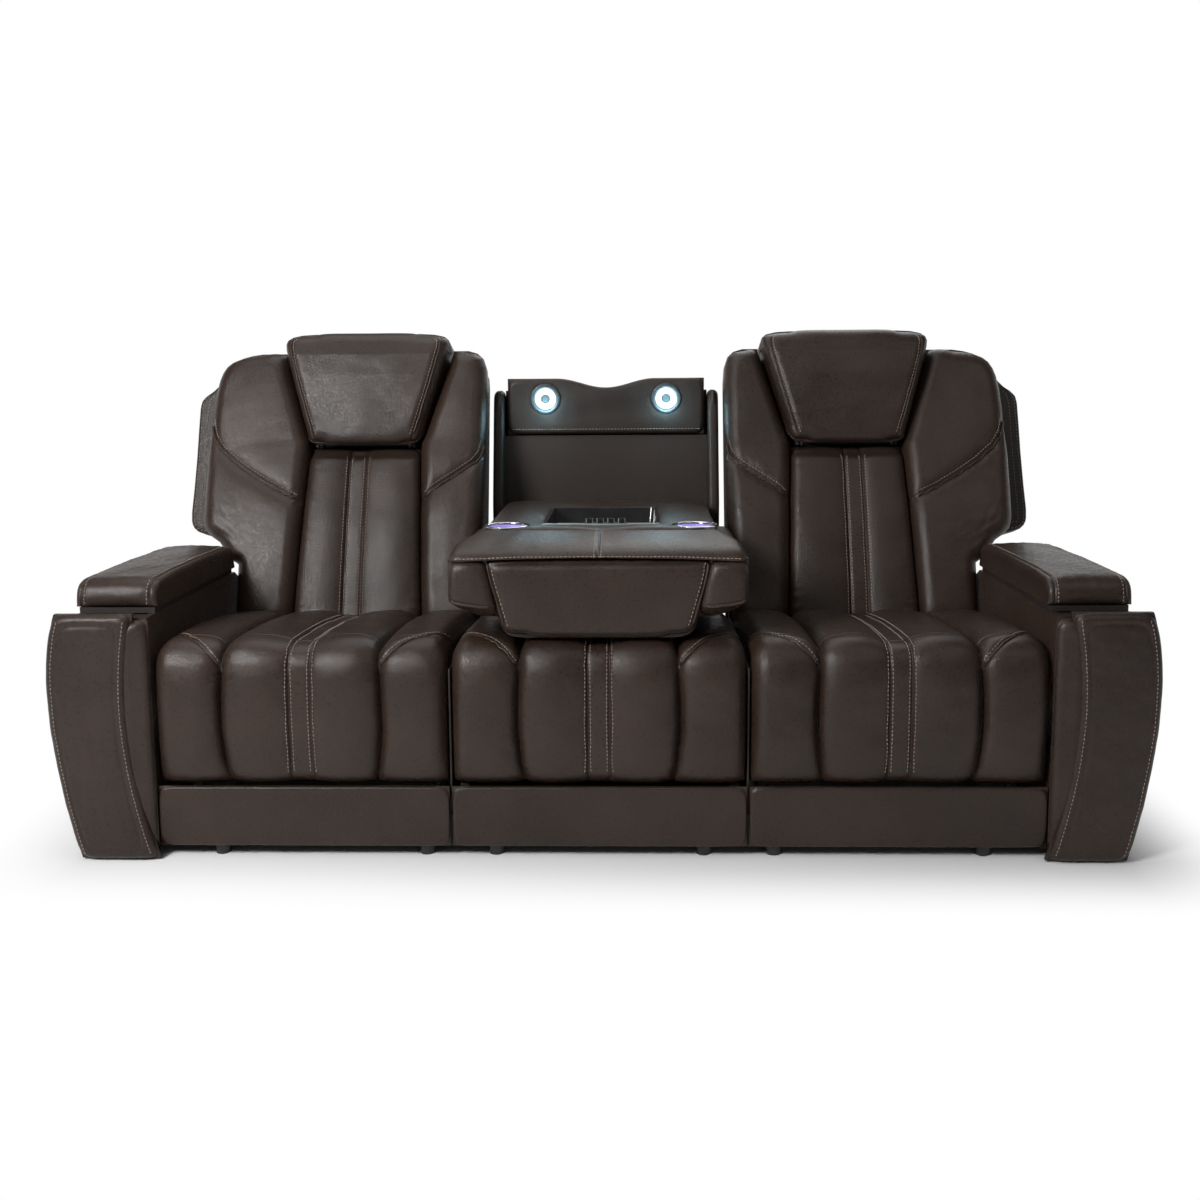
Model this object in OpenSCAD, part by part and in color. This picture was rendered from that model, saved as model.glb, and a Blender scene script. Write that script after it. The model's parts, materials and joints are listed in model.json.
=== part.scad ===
// Power reclining sofa with three places. The outer places recline, the middle back folds down as a table.
// Front is -Y, up is +Z, and the origin lies on the floor under the middle of the sofa.

/* [Places] */
// Distance between the middles of neighbouring places
seat_pitch = 610; // [600:1:640]
// Gap between neighbouring cushions
seat_gap = 6; // [4:1:8]
// Height of the seat at its front edge
seat_h = 447; // [440:1:455]
// Drop of the seat from its front edge to its back
seat_drop = 42; // [20:1:50]
// Front plane of the seats
seat_front_y = -456; // [-460:1:-450]
// Back edge of the seats, where the backs rise
seat_back_y = 92; // [80:1:94]
// Height of the padded front's lower edge
pad_low_z = 158; // [154:1:175]
// Half width of the middle channel panel of a seat
channel_half = 161; // [140:1:175]
// Half width of the narrow sewn strip
strip_half = 23; // [15:1:30]

/* [Backs] */
// Height of the recline pivot
recline_z = 330; // [328:1:334]
// Place of the recline pivot, measured to the back
recline_y = 150; // [148:1:154]
// Lean of the back at rest
back_tilt = 15; // [14:0.5:16]
// Height of a back's rear shell, along its lean
shell_top = 735; // [720:1:745]
// Reach of the ear over the arm, from the middle of the place
ear_reach = 453; // [440:1:460]
// Height of the ear's lower edge, along the back
ear_low = 292; // [285:1:320]
// Thickness of the rear shell's panel
shell_t = 22; // [14:1:26]
// Height of the headrest pillow, along the back
pillow_h = 273; // [266:1:280]
// Width of the headrest pillow at its top
pillow_top_w = 446; // [430:1:450]
// Width of the headrest pillow at its bottom
pillow_low_w = 286; // [270:1:300]

/* [Arms] */
// Height of the arm under its lid
arm_h = 505; // [495:1:515]
// Thickness of the arm
arm_w = 160; // [150:1:165]
// Back end of the arm
arm_back_y = 420; // [400:1:430]
// Thickness of the padded lid
lid_pad_t = 57; // [45:1:65]
// Length of the lid
lid_len = 523; // [500:1:530]
// Wall thickness of the arm's boards
board_t = 15; // [12:1:16]
// Depth of the storage bin
bin_depth = 175; // [120:1:180]

/* [Footrest] */
// Height of the torque tube's axis
drive_z = 236; // [234:1:240]
// Place of the torque tube's axis, measured to the back
drive_y = -249; // [-250:1:-246]
// Length of each footrest bar, pin to pin
link_len = 200; // [196:1:202]
// Angle between each bar and the line of travel, folded
link_folded = 72; // [71:0.5:73]
// Rise of the line of travel
travel_rise = 12; // [11:0.5:13]

/* [Table] */
// Height of the table top
table_z = 655; // [650:1:660]
// Width of the table top
table_w = 520; // [510:1:522]
// Thickness of the table's body
table_t = 125; // [100:1:130]
// Height of the table's pivot
table_pivot_z = 460; // [456:1:462]
// Place of the table's pivot, measured to the back
table_pivot_y = 150; // [146:1:152]
// Front edge of the flat table top
table_front_y = -246; // [-250:1:-240]
// Back edge of the table top
table_back_y = 334; // [320:1:336]
// Radius of a cup holder's bore
cup_r = 42; // [38:1:43]
// Depth of a cup holder
cup_depth = 65; // [50:1:80]
// Distance between a cup holder's bore and the table's side
cup_edge = 12; // [10:1:15]
// Distance between the tray and the table's side
tray_edge = 135; // [130:1:150]
// Depth of the tray
tray_depth = 60; // [40:1:80]

/* [Light bar] */
// Top of the light bar at its ends
bar_top = 971; // [960:1:980]
// Height of the light bar
bar_h = 146; // [135:1:150]
// Dip of the bar's top edge in its middle
bar_dip = 24; // [10:1:30]
// Distance of each reading light from the middle
light_x = 159; // [150:1:180]
// Radius of a reading light
light_r = 42; // [38:1:45]
// Travel of a light's push button
button_travel = 2; // [1.5:0.1:2.5]

/* [Base] */
// Height of the glides
foot_h = 22; // [20:1:24]
// Height of the timber rails
rail_h = 66; // [50:1:68]

/* [Hidden] */

leather = "#3d302a";
leather_dark = "#2e2522";
steel = "#8d9196";
timber = "#c3a06f";
black = "#1a1a1c";

// Clearance of a shaft in its bore, on the radius
run_fit = 0.05;
// Gap that keeps soft and sliding neighbours apart
soft_gap = 0.3;
$fn = 48;

seat_half = (seat_pitch - seat_gap) / 2 - 2;
rail_top = foot_h + rail_h;

// Layers of a back, measured square to it from its pivot: cushion, board, cavity and rear shell
cushion_back = 70;
frame_t = 18;
frame_w0 = cushion_back + soft_gap;
frame_w1 = frame_w0 + frame_t;
cavity = 48;
shell_back = frame_w1 + cavity + shell_t;

// Middle of a ring of points
function ring_middle(ring) = [for (k = [0:len(ring) - 1]) 1] * ring / len(ring);

// Soft pieces are closed skins through rings of points, one ring for each station across the piece.
// The rings run counter-clockwise as seen from +X, and each end closes on a point inside its ring.
module skin(rings, ends = undef) {
    count = len(rings[0]);
    last = len(rings) - 1;
    middles = is_undef(ends) ? [ring_middle(rings[0]), ring_middle(rings[last])] : ends;
    first_mid = len(rings) * count;
    sides = [for (i = [0:last - 1], k = [0:count - 1]) let (j = (k + 1) % count)
        each [[i * count + k, (i + 1) * count + j, i * count + j],
              [i * count + k, (i + 1) * count + k, (i + 1) * count + j]]];
    caps = [for (k = [0:count - 1]) let (j = (k + 1) % count)
        each [[first_mid, k, j], [first_mid + 1, last * count + j, last * count + k]]];
    polyhedron([for (ring = concat(rings, [middles])) each ring], concat(sides, caps));
}

// Outward normal at point k of a closed outline that runs counter-clockwise
function outline_normal(outline, k) = let (
    count = len(outline),
    step = outline[(k + 1) % count] - outline[(k + count - 1) % count])
    [step[1], -step[0]] / norm(step);

// How far the cover is drawn in at x between seams; each seam is [place, depth]
function drawn_in(x, seams, i = 0) =
    i >= len(seams) - 2 || x <= seams[i + 1][0]
        ? let (s = (x - seams[i][0]) / (seams[i + 1][0] - seams[i][0]))
            seams[i][1] * pow(1 - s, 4) + seams[i + 1][1] * pow(s, 4)
        : drawn_in(x, seams, i + 1);

// Stations across a piece: each seam, and three places between it and the next one
function stations(seams) = concat(
    [for (i = [0:len(seams) - 2]) each [for (s = [0, 0.14, 0.5, 0.86])
        seams[i][0] + s * (seams[i + 1][0] - seams[i][0])]],
    [seams[len(seams) - 1][0]]);

// Padded piece with a constant side outline in YZ; each outline point is [y, z, share of the drawing in].
// The middle is a place in YZ that sees the whole outline, given where the outline has a hollow side.
module padded(outline, seams, middle = undef) {
    flat = [for (p = outline) [p[0], p[1]]];
    ends = [for (x = [seams[0][0], seams[len(seams) - 1][0]]) concat([x], middle)];
    skin([for (x = stations(seams)) [for (k = [0:len(flat) - 1])
        let (q = flat[k] - outline_normal(flat, k) * drawn_in(x, seams) * outline[k][2])
        [x, q[0], q[1]]]], is_undef(middle) ? undef : ends);
}

// A place on one side of the sofa: +1 is the right one, -1 its mirror image
module on_side(side) {
    if (side > 0) {
        translate([seat_pitch, 0, 0]) children();
    } else {
        mirror([1, 0, 0]) translate([seat_pitch, 0, 0]) children();
    }
}

// Frame of a back: X outward, Y square to the back and rearward, Z up along it, from its pivot
module in_back(side) {
    on_side(side) translate([0, recline_y, recline_z]) rotate([-back_tilt, 0, 0]) children();
}

// A rod along X between two places
module rod_x(x0, x1, y, z, r) {
    translate([x0, y, z]) rotate([0, 90, 0]) cylinder(r = r, h = x1 - x0);
}

// A board with an outline in YZ, from x0 to x1
module board_yz(x0, x1, outline) {
    translate([x0, 0, 0]) rotate([90, 0, 90]) linear_extrude(x1 - x0) polygon(outline);
}

// A board with an outline in XZ, from y0 to y1
module board_xz(y0, y1, outline) {
    translate([0, y1, 0]) rotate([90, 0, 0]) linear_extrude(y1 - y0) polygon(outline);
}

// A block between two corners
module block(low, high) {
    translate(low) cube(high - low);
}

// Timber base
rail_t = 20;
kick_t = 12;
front_rail_y = seat_front_y + kick_t + soft_gap;
rear_rail_y = 300;
rear_rail_t = 42;
bearer_t = 32;
bearer_u = 284;
plate_u = 272;
bearer_inner = seat_pitch - bearer_u;
bearer_outer = seat_pitch + bearer_u;
arm_in = seat_pitch * 1.5;
seat_fit = 0.2;
base_half = arm_in - seat_fit;

module base_frame() {
    color(timber) {
        block([-base_half, front_rail_y, foot_h], [base_half, front_rail_y + rail_t, rail_top]);
        block([-base_half, rear_rail_y, foot_h], [base_half, rear_rail_y + rear_rail_t, rail_top]);
        for (x = [-bearer_outer, -bearer_inner, bearer_inner, bearer_outer]) {
            block([x - bearer_t / 2, front_rail_y, foot_h],
                  [x + bearer_t / 2, rear_rail_y + rear_rail_t, rail_top]);
        }
    }
}

// Glides under the rails and under the arm boxes
foot_r = 17;
front_feet = [215, 360, 790];
arm_foot_x = 1000;

module foot(x, y) {
    translate([x, y, 0]) cylinder(r1 = foot_r - 2, r2 = foot_r, h = foot_h);
}

module feet() {
    color(black) for (side = [-1, 1]) {
        for (x = front_feet) foot(side * x, front_rail_y + foot_r + 2);
        for (x = [bearer_inner, bearer_outer]) foot(side * x, rear_rail_y + rear_rail_t / 2);
        for (y = [seat_front_y + 60, arm_back_y - 60]) {
            translate([side * arm_foot_x, y, 0]) cylinder(r = foot_r, h = arm_low);
        }
    }
}

// Lower front panels
kick_low = 24;
kick_gap = 10;

module kick_panels() {
    color(leather) for (x = [-seat_pitch, 0, seat_pitch]) {
        block([x - seat_half + 2, seat_front_y, kick_low],
              [x + seat_half - 2, seat_front_y + kick_t, pad_low_z - kick_gap]);
    }
}

// Arms
arm_low = 25;
arm_out = arm_in + arm_w;
arm_front_y = -(recline_y + shell_back * cos(back_tilt) + shell_top * sin(back_tilt));
arm_box_y = seat_front_y - 1;
lid_front_y = -409;
lid_back_y = lid_front_y + lid_len;
slope_y = lid_back_y + 11;

function arm_outline(inset, low) = [
    [arm_box_y + inset, low], [arm_back_y - inset, low], [arm_back_y - inset, 290 - inset * 0.45],
    [arm_back_y - 90 - inset * 0.6, 400 - inset], [slope_y - inset * 0.2, arm_h - inset],
    [arm_box_y + inset, arm_h - inset]];

module arm_box(side) {
    bin_low = arm_h - bin_depth;
    bin_back = lid_back_y - board_t;
    color(timber) mirror([side > 0 ? 0 : 1, 0, 0]) difference() {
        board_yz(arm_in, arm_out, arm_outline(0, arm_low));
        block([arm_in + board_t, lid_front_y + board_t - 20, bin_low],
              [arm_out - board_t, bin_back, arm_h + 10]);
        difference() {
            board_yz(arm_in + board_t, arm_out - board_t, arm_outline(board_t, arm_low + board_t));
            block([arm_in, arm_box_y, bin_low - board_t], [arm_out, lid_back_y, arm_h + 10]);
        }
    }
}

// Points of a curve with one bend, from a to b, drawn towards c
function bent(a, c, b, steps) =
    [for (i = [0:steps]) let (t = i / steps) a * pow(1 - t, 2) + c * 2 * t * (1 - t) + b * t * t];

arm_front_top = arm_h + 12;
arm_front_low = 4;

module arm_front(side) {
    outer = bent([arm_out + 22, arm_front_top], [arm_out + 80, 345], [arm_out - 6, arm_front_low], 14);
    inner = bent([arm_in - 10, arm_front_low], [arm_in + 76, 280], [arm_in + 22, arm_front_top - 4], 12);
    color(leather) mirror([side > 0 ? 0 : 1, 0, 0])
        board_xz(arm_front_y, arm_box_y - soft_gap, concat(outer, inner));
}

skin_t = 14;
leaf_t = 2;

module arm_skin(side) {
    skin_in = arm_out + leaf_t + 1;
    color(leather) mirror([side > 0 ? 0 : 1, 0, 0])
        board_yz(skin_in, skin_in + skin_t, arm_outline(9, arm_low + 5));
}

// Lids: a board with a pad, hinged along the arm's outer edge
lid_board_t = 12;
lid_z = arm_h + soft_gap;
hinge_x = arm_out + 8;
hinge_z = lid_z + 3.7;
hinge_pin_r = 3;
knuckle_r = 6;
knuckle_len = 40;
knuckle_pitch = 160;
fixed_knuckles = [for (k = [0:2]) lid_front_y + 50 + k * knuckle_pitch];

module lid_hinges() {
    web_high = hinge_z - 2;
    color(steel) for (side = [-1, 1]) mirror([side > 0 ? 0 : 1, 0, 0]) {
        for (y = fixed_knuckles) {
            translate([hinge_x, y, hinge_z]) rotate([-90, 0, 0])
                cylinder(r = knuckle_r, h = knuckle_len);
            block([arm_out + 0.2, y, arm_h - 12], [arm_out + 0.2 + leaf_t, y + knuckle_len, web_high]);
            block([arm_out + 0.2, y, arm_h - 4], [hinge_x, y + knuckle_len, web_high]);
        }
        translate([hinge_x, fixed_knuckles[0] + 10, hinge_z]) rotate([-90, 0, 0])
            cylinder(r = hinge_pin_r, h = fixed_knuckles[2] - fixed_knuckles[0] + 20);
        block([arm_out + 0.2, fixed_knuckles[0], arm_h - 36],
              [arm_out + 0.2 + leaf_t, fixed_knuckles[2] + knuckle_len, arm_h - 11]);
    }
}

module lid_board(side) {
    color(timber) mirror([side > 0 ? 0 : 1, 0, 0]) difference() {
        union() {
            block([arm_in + 2, lid_front_y + 6, lid_z], [arm_out - 1.5, lid_back_y - 6, lid_z + lid_board_t]);
            for (k = [0:1]) {
                y = fixed_knuckles[k] + knuckle_len + 1;
                len_k = knuckle_pitch - knuckle_len - 2;
                block([arm_out - 5, y, lid_z + 1], [hinge_x, y + len_k, lid_z + knuckle_r]);
                translate([hinge_x, y, hinge_z]) rotate([-90, 0, 0])
                    cylinder(r = knuckle_r, h = len_k);
            }
        }
        translate([hinge_x, lid_front_y - 10, hinge_z]) rotate([-90, 0, 0])
            cylinder(r = hinge_pin_r + run_fit, h = lid_len + 20);
    }
}

module lid_pad(side) {
    low = lid_z + lid_board_t + soft_gap;
    high = low + lid_pad_t;
    outline = [
        [lid_back_y - 4, low, 0], [lid_back_y, low + 12, 0.6], [lid_back_y - 1, high - 18, 1],
        [lid_back_y - 16, high - 3, 1], [lid_back_y - 120, high, 1], [lid_front_y + 120, high, 1],
        [lid_front_y + 26, high - 1, 1], [lid_front_y + 8, high - 10, 1], [lid_front_y, high - 28, 1],
        [lid_front_y + 1, low + 10, 0.6], [lid_front_y + 8, low, 0]];
    color(leather) mirror([side > 0 ? 0 : 1, 0, 0]) padded(outline,
        [[arm_in - 4, 14], [arm_in + 14, 1], [arm_out - 12, 1], [arm_out + 4, 14]]);
}

// Reclining seat: side plates, cross tubes and deck
plate_t = 4;
deck_t = 14;
deck_top = seat_h - seat_drop - 101;
tube_r = 10;
pivot_r = 8;
drive_r = 14;
front_tube = [-225, 110];
rear_tube = [118, 128];

module seat_frame(side) {
    plate = [
        [drive_y - 96, deck_top - deck_t], [drive_y - 44, drive_z - 30], [drive_y - 38, rail_top],
        [drive_y + 44, rail_top], [drive_y + 48, drive_z - 52], [rear_tube[0] - 40, drive_z - 36],
        [rear_tube[0] - 22, rail_top], [rear_tube[0] + 22, rail_top],
        [recline_y + 25, recline_z - 30], [recline_y + 22, recline_z + 22],
        [recline_y - 20, recline_z + 22], [recline_y - 32, deck_top - deck_t]];
    color(steel) on_side(side) {
        for (u = [-plate_u, plate_u]) difference() {
            board_yz(u - plate_t / 2, u + plate_t / 2, plate);
            rod_x(u - plate_t, u + plate_t, drive_y, drive_z, drive_r + run_fit);
            rod_x(u - plate_t, u + plate_t, recline_y, recline_z, pivot_r + run_fit);
        }
        for (t = [front_tube, rear_tube]) rod_x(-plate_u, plate_u, t[0], t[1], tube_r);
        block([-seat_half + 12, seat_front_y + 86, deck_top - deck_t],
              [seat_half - 12, seat_back_y + 3, deck_top]);
    }
}

// Side outline of a seat's upper surface, from the back edge to the front edge
function seat_top(y) = let (s = (seat_back_y - y) / (seat_back_y - seat_front_y))
    seat_h - seat_drop + seat_drop * s + 9 * sin(180 * s);

cushion_low = deck_top + soft_gap;
cushion_front_y = seat_front_y + 82;
seat_seams = [
    [-seat_half, 26], [-channel_half, 13], [-strip_half, 5], [strip_half, 5], [channel_half, 13],
    [seat_half, 26]];

module seat_cushion(side) {
    outline = concat(
        [[cushion_front_y, cushion_low, 0], [seat_back_y, cushion_low, 0],
         [seat_back_y, seat_top(seat_back_y) - 30, 0.3], [seat_back_y - 12, seat_top(seat_back_y) - 6, 0.8]],
        [for (y = [seat_back_y - 60, seat_back_y - 160, seat_back_y - 260, seat_back_y - 360])
            [y, seat_top(y), 1]],
        [[cushion_front_y + 14, seat_top(cushion_front_y), 1],
         [cushion_front_y, seat_top(cushion_front_y) - 7, 0.4]]);
    color(leather) on_side(side) padded(outline, seat_seams);
}

// Motor with its rail, and the block that pushes the crank
rail_z = 150;
crank_len = 60;
crank_rest = 300;
crank_y = drive_y + crank_len * cos(crank_rest);
crank_z = drive_z + crank_len * sin(crank_rest);
crank_pin_r = 5;
motor_front_y = -60;

module recline_motor(side) {
    rear_top = rear_tube[1] + tube_r;
    color(black) on_side(side) {
        block([-12, crank_y - crank_len - 30, rail_z], [12, motor_front_y + 1, rail_z + 12]);
        block([-12, front_tube[0] - 10, front_tube[1] + tube_r],
              [12, front_tube[0] + 10, rail_z + 1]);
        block([-42, motor_front_y, rear_top], [42, rear_tube[0] + 12, rear_top + 62]);
        translate([0, motor_front_y + 60, rear_top + 31]) rotate([0, 90, 0]) cylinder(r = 30, h = 100);
    }
}

module motor_block(side) {
    slot_half = crank_pin_r + 1;
    color(steel) on_side(side) difference() {
        block([-9, crank_y - 22, rail_z + 12 + soft_gap], [9, crank_y + 22, crank_z + 22]);
        block([-10, crank_y - slot_half, crank_z - 15], [10, crank_y + slot_half, crank_z + 9]);
    }
}

// Footrest bars, pin to pin: the drive tube's end, the knee, and the footrest's pivot
link_w = 20;
link_t = 5;
link_pin_r = 5;
rear_link_u = 261.5;
front_link_u = rear_link_u - link_t - 1;
lug_u = front_link_u - link_t - 1;
travel_dir = 180 - travel_rise;
knee_y = drive_y + link_len * cos(travel_dir + link_folded);
knee_z = drive_z + link_len * sin(travel_dir + link_folded);
rest_y = knee_y + link_len * cos(travel_dir - link_folded);
rest_z = knee_z + link_len * sin(travel_dir - link_folded);

// A flat bar with round ends, at u, from one pin to the other
module bar(u, y0, z0, y1, z1) {
    rod_x(u - link_t / 2, u + link_t / 2, y0, z0, link_w / 2);
    rod_x(u - link_t / 2, u + link_t / 2, y1, z1, link_w / 2);
    translate([u - link_t / 2, y0, z0]) rotate([atan2(z1 - z0, y1 - y0), 0, 0])
        translate([0, 0, -link_w / 2]) cube([link_t, norm([y1 - y0, z1 - z0]), link_w]);
}

module rear_links(side) {
    color(steel) on_side(side) {
        rod_x(-plate_u - 6, plate_u + 6, drive_y, drive_z, drive_r);
        for (s = [-1, 1]) {
            bar(s * rear_link_u, drive_y, drive_z, knee_y, knee_z);
            rod_x(s > 0 ? front_link_u - link_t / 2 : -rear_link_u,
                  s > 0 ? rear_link_u : -front_link_u + link_t / 2, knee_y, knee_z, link_pin_r);
            bar(s * 13, drive_y, drive_z, crank_y, crank_z);
        }
        rod_x(-13, 13, crank_y, crank_z, crank_pin_r);
    }
}

module front_links(side) {
    color(steel) on_side(side) for (s = [-1, 1]) {
        difference() {
            bar(s * front_link_u, knee_y, knee_z, rest_y, rest_z);
            rod_x(s * front_link_u - link_t, s * front_link_u + link_t, knee_y, knee_z,
                  link_pin_r + run_fit);
        }
        rod_x(s > 0 ? lug_u - link_t / 2 : -front_link_u,
              s > 0 ? front_link_u : -lug_u + link_t / 2, rest_y, rest_z, link_pin_r);
    }
}

// Footrest
footrest_t = 66;
footrest_back_y = seat_front_y + footrest_t;
footrest_board_t = 9;
footrest_top = seat_top(cushion_front_y) - 3;

module footrest_board(side) {
    board_back = footrest_back_y + soft_gap + footrest_board_t;
    color(timber) on_side(side) {
        block([-seat_half + 14, footrest_back_y + soft_gap, pad_low_z + 12],
              [seat_half - 14, board_back, footrest_top - 16]);
        for (s = [-1, 1]) difference() {
            union() {
                block([s * lug_u - link_t / 2, board_back - 1, rest_z - 14],
                      [s * lug_u + link_t / 2, rest_y, rest_z + 14]);
                rod_x(s * lug_u - link_t / 2, s * lug_u + link_t / 2, rest_y, rest_z, 14);
            }
            rod_x(s * lug_u - link_t, s * lug_u + link_t, rest_y, rest_z, link_pin_r + run_fit);
            block([s * lug_u - link_t, footrest_back_y - 20, rest_z - 30],
                  [s * lug_u + link_t, footrest_back_y + soft_gap, rest_z + 30]);
        }
    }
}

// Front of a padded seat, from the lower edge of its back plane round to the top
function front_outline(back_y, top_z) = [
    [back_y, pad_low_z, 0], [back_y, top_z - 12, 0], [back_y - 5, top_z - 1, 0.7],
    [back_y - 26, top_z - 2, 1], [back_y - 46, top_z - 13, 1], [back_y - 60, top_z - 34, 1],
    [seat_front_y, top_z - 64, 1], [seat_front_y - 3, top_z - 150, 1], [seat_front_y, pad_low_z + 56, 1],
    [seat_front_y + 8, pad_low_z + 18, 1], [seat_front_y + 26, pad_low_z + 2, 0.8]];

module footrest_pad(side) {
    color(leather) on_side(side) padded(front_outline(footrest_back_y, footrest_top), seat_seams);
}

// Back: board, hinge arms and the headrest's pivot rod
back_low = 45;
back_in = seat_half;
back_out = seat_half - 6;
hinge_u = plate_u - plate_t / 2 - 6;
head_hinge_v = 497;
head_pin_r = 5;
head_bracket_u = 123;

// Outline of the back in its own frame, drawn in by a margin
function back_outline(m, low, ear, top) = [
    [-back_in + m, low + m], [back_out - m, low + m], [back_out - m, ear_low + m],
    [ear - m, ear_low + m], [ear - 44 - m, top - 70 - m * 0.6], [ear - 66 - m, top - 28 - m],
    [ear - 110 - m, top - m], [-back_in + 42 + m, top - m], [-back_in + 14 + m, top - 14 - m],
    [-back_in + m, top - 48 - m]];

module back_frame(side) {
    color(timber) in_back(side) {
        board_xz(frame_w0, frame_w1, back_outline(16, back_low, ear_reach, shell_top));
        for (s = [-1, 1]) {
            rod_x(s * hinge_u - 3, s * hinge_u + 3, 0, 0, 18);
            block([s * hinge_u - 3, 0, -18], [s * hinge_u + 3, frame_w1, 18]);
            block([s * hinge_u - 3, frame_w0, -18], [s * hinge_u + 3, frame_w1, back_low + 30]);
            rod_x(s > 0 ? hinge_u : -plate_u - 6, s > 0 ? plate_u + 6 : -hinge_u, 0, 0, pivot_r);
            block([s * head_bracket_u - 3, -8, head_hinge_v - 9],
                  [s * head_bracket_u + 3, frame_w0 + 1, head_hinge_v + 7]);
        }
        rod_x(-head_bracket_u - 3, head_bracket_u + 3, 0, head_hinge_v, head_pin_r);
    }
}

module back_shell(side) {
    rim = 14;
    color(leather_dark) in_back(side) difference() {
        board_xz(frame_w1 + 1, shell_back, back_outline(0, back_low, ear_reach, shell_top));
        board_xz(frame_w1, shell_back - shell_t, back_outline(rim, back_low, ear_reach, shell_top));
    }
}

// Front surface of a back's cushion, its lower edge, its top edge and the cross seam's height
panel_half = 146;
panel_out = 14;
pillow_low_v = 500;
function back_front(v) = -66 + 56 * (v - back_low) / (pillow_low_v - 45) - 12 * sin(180 * min(1, v / 500));
function cushion_low_v(u) = u > back_out ? ear_low + 10 : back_low;
function wing_top_v(u) =
    shell_top + 6 - (u < 0 ? max(0, -u - 270) * 1.4 : max(0, u - 320) * 0.9);
function cushion_top_v(u) = let (out = abs(u) - pillow_low_w / 2 - 4)
    out < 0 ? head_hinge_v - 15
    : min(wing_top_v(u), head_hinge_v + 15 + out * pillow_h / ((pillow_top_w - pillow_low_w) / 2));
function cross_seam_v(u) = u > panel_half ? 339 + (u - panel_half) * 0.66
    : u < -panel_half ? 340 + (-u - panel_half) * 0.87 : 340;

back_seams = [
    [-back_in, 34], [-pillow_top_w / 2 - 8, 2], [-panel_half, 16], [panel_out - 22, 5], [panel_out + 22, 5],
    [panel_half, 16], [pillow_top_w / 2 + 8, 1], [back_out, 2], [back_out + 4, 2], [ear_reach - 42, 40]];

function back_ring(u) = let (
    low = cushion_low_v(u),
    top = cushion_top_v(u),
    seam = cross_seam_v(u),
    wing = abs(u) > panel_half + 1 ? 1 : 0,
    rows = [[0, 34], [0.06, 8], [0.2, 0], [0.5, 0], [1, 6 * wing], [1.25, 0], [1.6, 0], [1.9, 6], [2, 26]])
    concat(
        [[u, cushion_back, low], [u, cushion_back, top]],
        [for (r = [len(rows) - 1:-1:0]) let (
            t = rows[r][0],
            v = t <= 1 ? low + (seam - low) * t : seam + (top - seam) * (t - 1))
            [u, min(cushion_back - 12, back_front(v) - 14 * wing + rows[r][1] + drawn_in(u, back_seams)), v]]);

module back_cushion(side) {
    color(leather) in_back(side) skin([for (u = stations(back_seams)) back_ring(u)]);
}

// Headrest: a plate with ears on the pivot rod, and the pillow that wraps over the back's top
module headrest_plate(side) {
    ear_u = head_bracket_u - 10;
    color(steel) in_back(side) {
        block([-ear_u - 3, -12, head_hinge_v + 11], [ear_u + 3, cushion_back - 6, head_hinge_v + 15]);
        for (s = [-1, 1]) difference() {
            union() {
                rod_x(s * ear_u - 3, s * ear_u + 3, 0, head_hinge_v, 11);
                block([s * ear_u - 3, -11, head_hinge_v], [s * ear_u + 3, 11, head_hinge_v + 12]);
            }
            rod_x(s * ear_u - 4, s * ear_u + 4, 0, head_hinge_v, head_pin_r + run_fit);
        }
    }
}

pillow_v0 = head_hinge_v + 15 + soft_gap;
pillow_v1 = head_hinge_v + pillow_h + 15;
function pillow_outline() = [
    [-17, head_hinge_v - 4, 0], [-14, pillow_v0, 0], [cushion_back - 3, pillow_v0, 0],
    [cushion_back - 3, shell_top + 4, 0],
    [shell_back - 24, shell_top + 5, 0], [shell_back - 12, shell_top + 14, 0.5],
    [shell_back - 26, pillow_v1 - 12, 1], [shell_back - 70, pillow_v1 - 1, 1], [24, pillow_v1, 1],
    [-14, pillow_v1 - 12, 1], [-40, pillow_v1 - 44, 1], [-48, pillow_v1 - 120, 1],
    [-44, pillow_v0 + 60, 1], [-36, pillow_v0 + 4, 0.8], [-26, head_hinge_v - 5, 0.2]];

module headrest_pillow(side) {
    half_top = pillow_top_w / 2;
    half_low = pillow_low_w / 2;
    outline = pillow_outline();
    flat = [for (p = outline) [p[0], p[1]]];
    seams = [[-1, 12], [-0.82, 4], [0.82, 4], [1, 12]];
    function half_at(v) = half_low + (half_top - half_low) * (v - pillow_v0) / (pillow_v1 - pillow_v0);
    middle = [-8, shell_top + 10];
    color(leather) in_back(side) skin(
        [for (s = stations(seams)) [for (k = [0:len(flat) - 1])
            let (q = flat[k] - outline_normal(flat, k) * drawn_in(s, seams) * outline[k][2])
            [s * half_at(q[1]), q[0], q[1]]]],
        [for (s = [-1, 1]) [s * half_at(middle[1]), middle[0], middle[1]]]);
}

module headrest_motor(side) {
    color(black) in_back(side) {
        block([-34, frame_w1 + 0.2, 330], [34, frame_w1 + cavity - 6, 430]);
        translate([0, frame_w1 + 22, 430]) cylinder(r = 8, h = 60);
    }
}

// Middle place: fixed seat
mid_side = 288;

module seat_middle_deck() {
    front_y = footrest_back_y + soft_gap;
    color(timber) {
        block([-mid_side, front_y, deck_top - deck_t], [mid_side, seat_back_y + 3, deck_top]);
        for (x = [-mid_side, mid_side - 18]) board_yz(x, x + 18, [
            [front_rail_y + rail_t, foot_h], [rear_rail_y, foot_h], [rear_rail_y, rail_top],
            [seat_back_y + 3, rail_top], [seat_back_y + 3, deck_top], [front_y, deck_top],
            [front_y, pad_low_z - 8], [front_rail_y + rail_t, pad_low_z - 8]]);
        block([-mid_side, front_y, foot_h + 1], [mid_side, front_y + 15, deck_top - 2]);
    }
}

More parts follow.
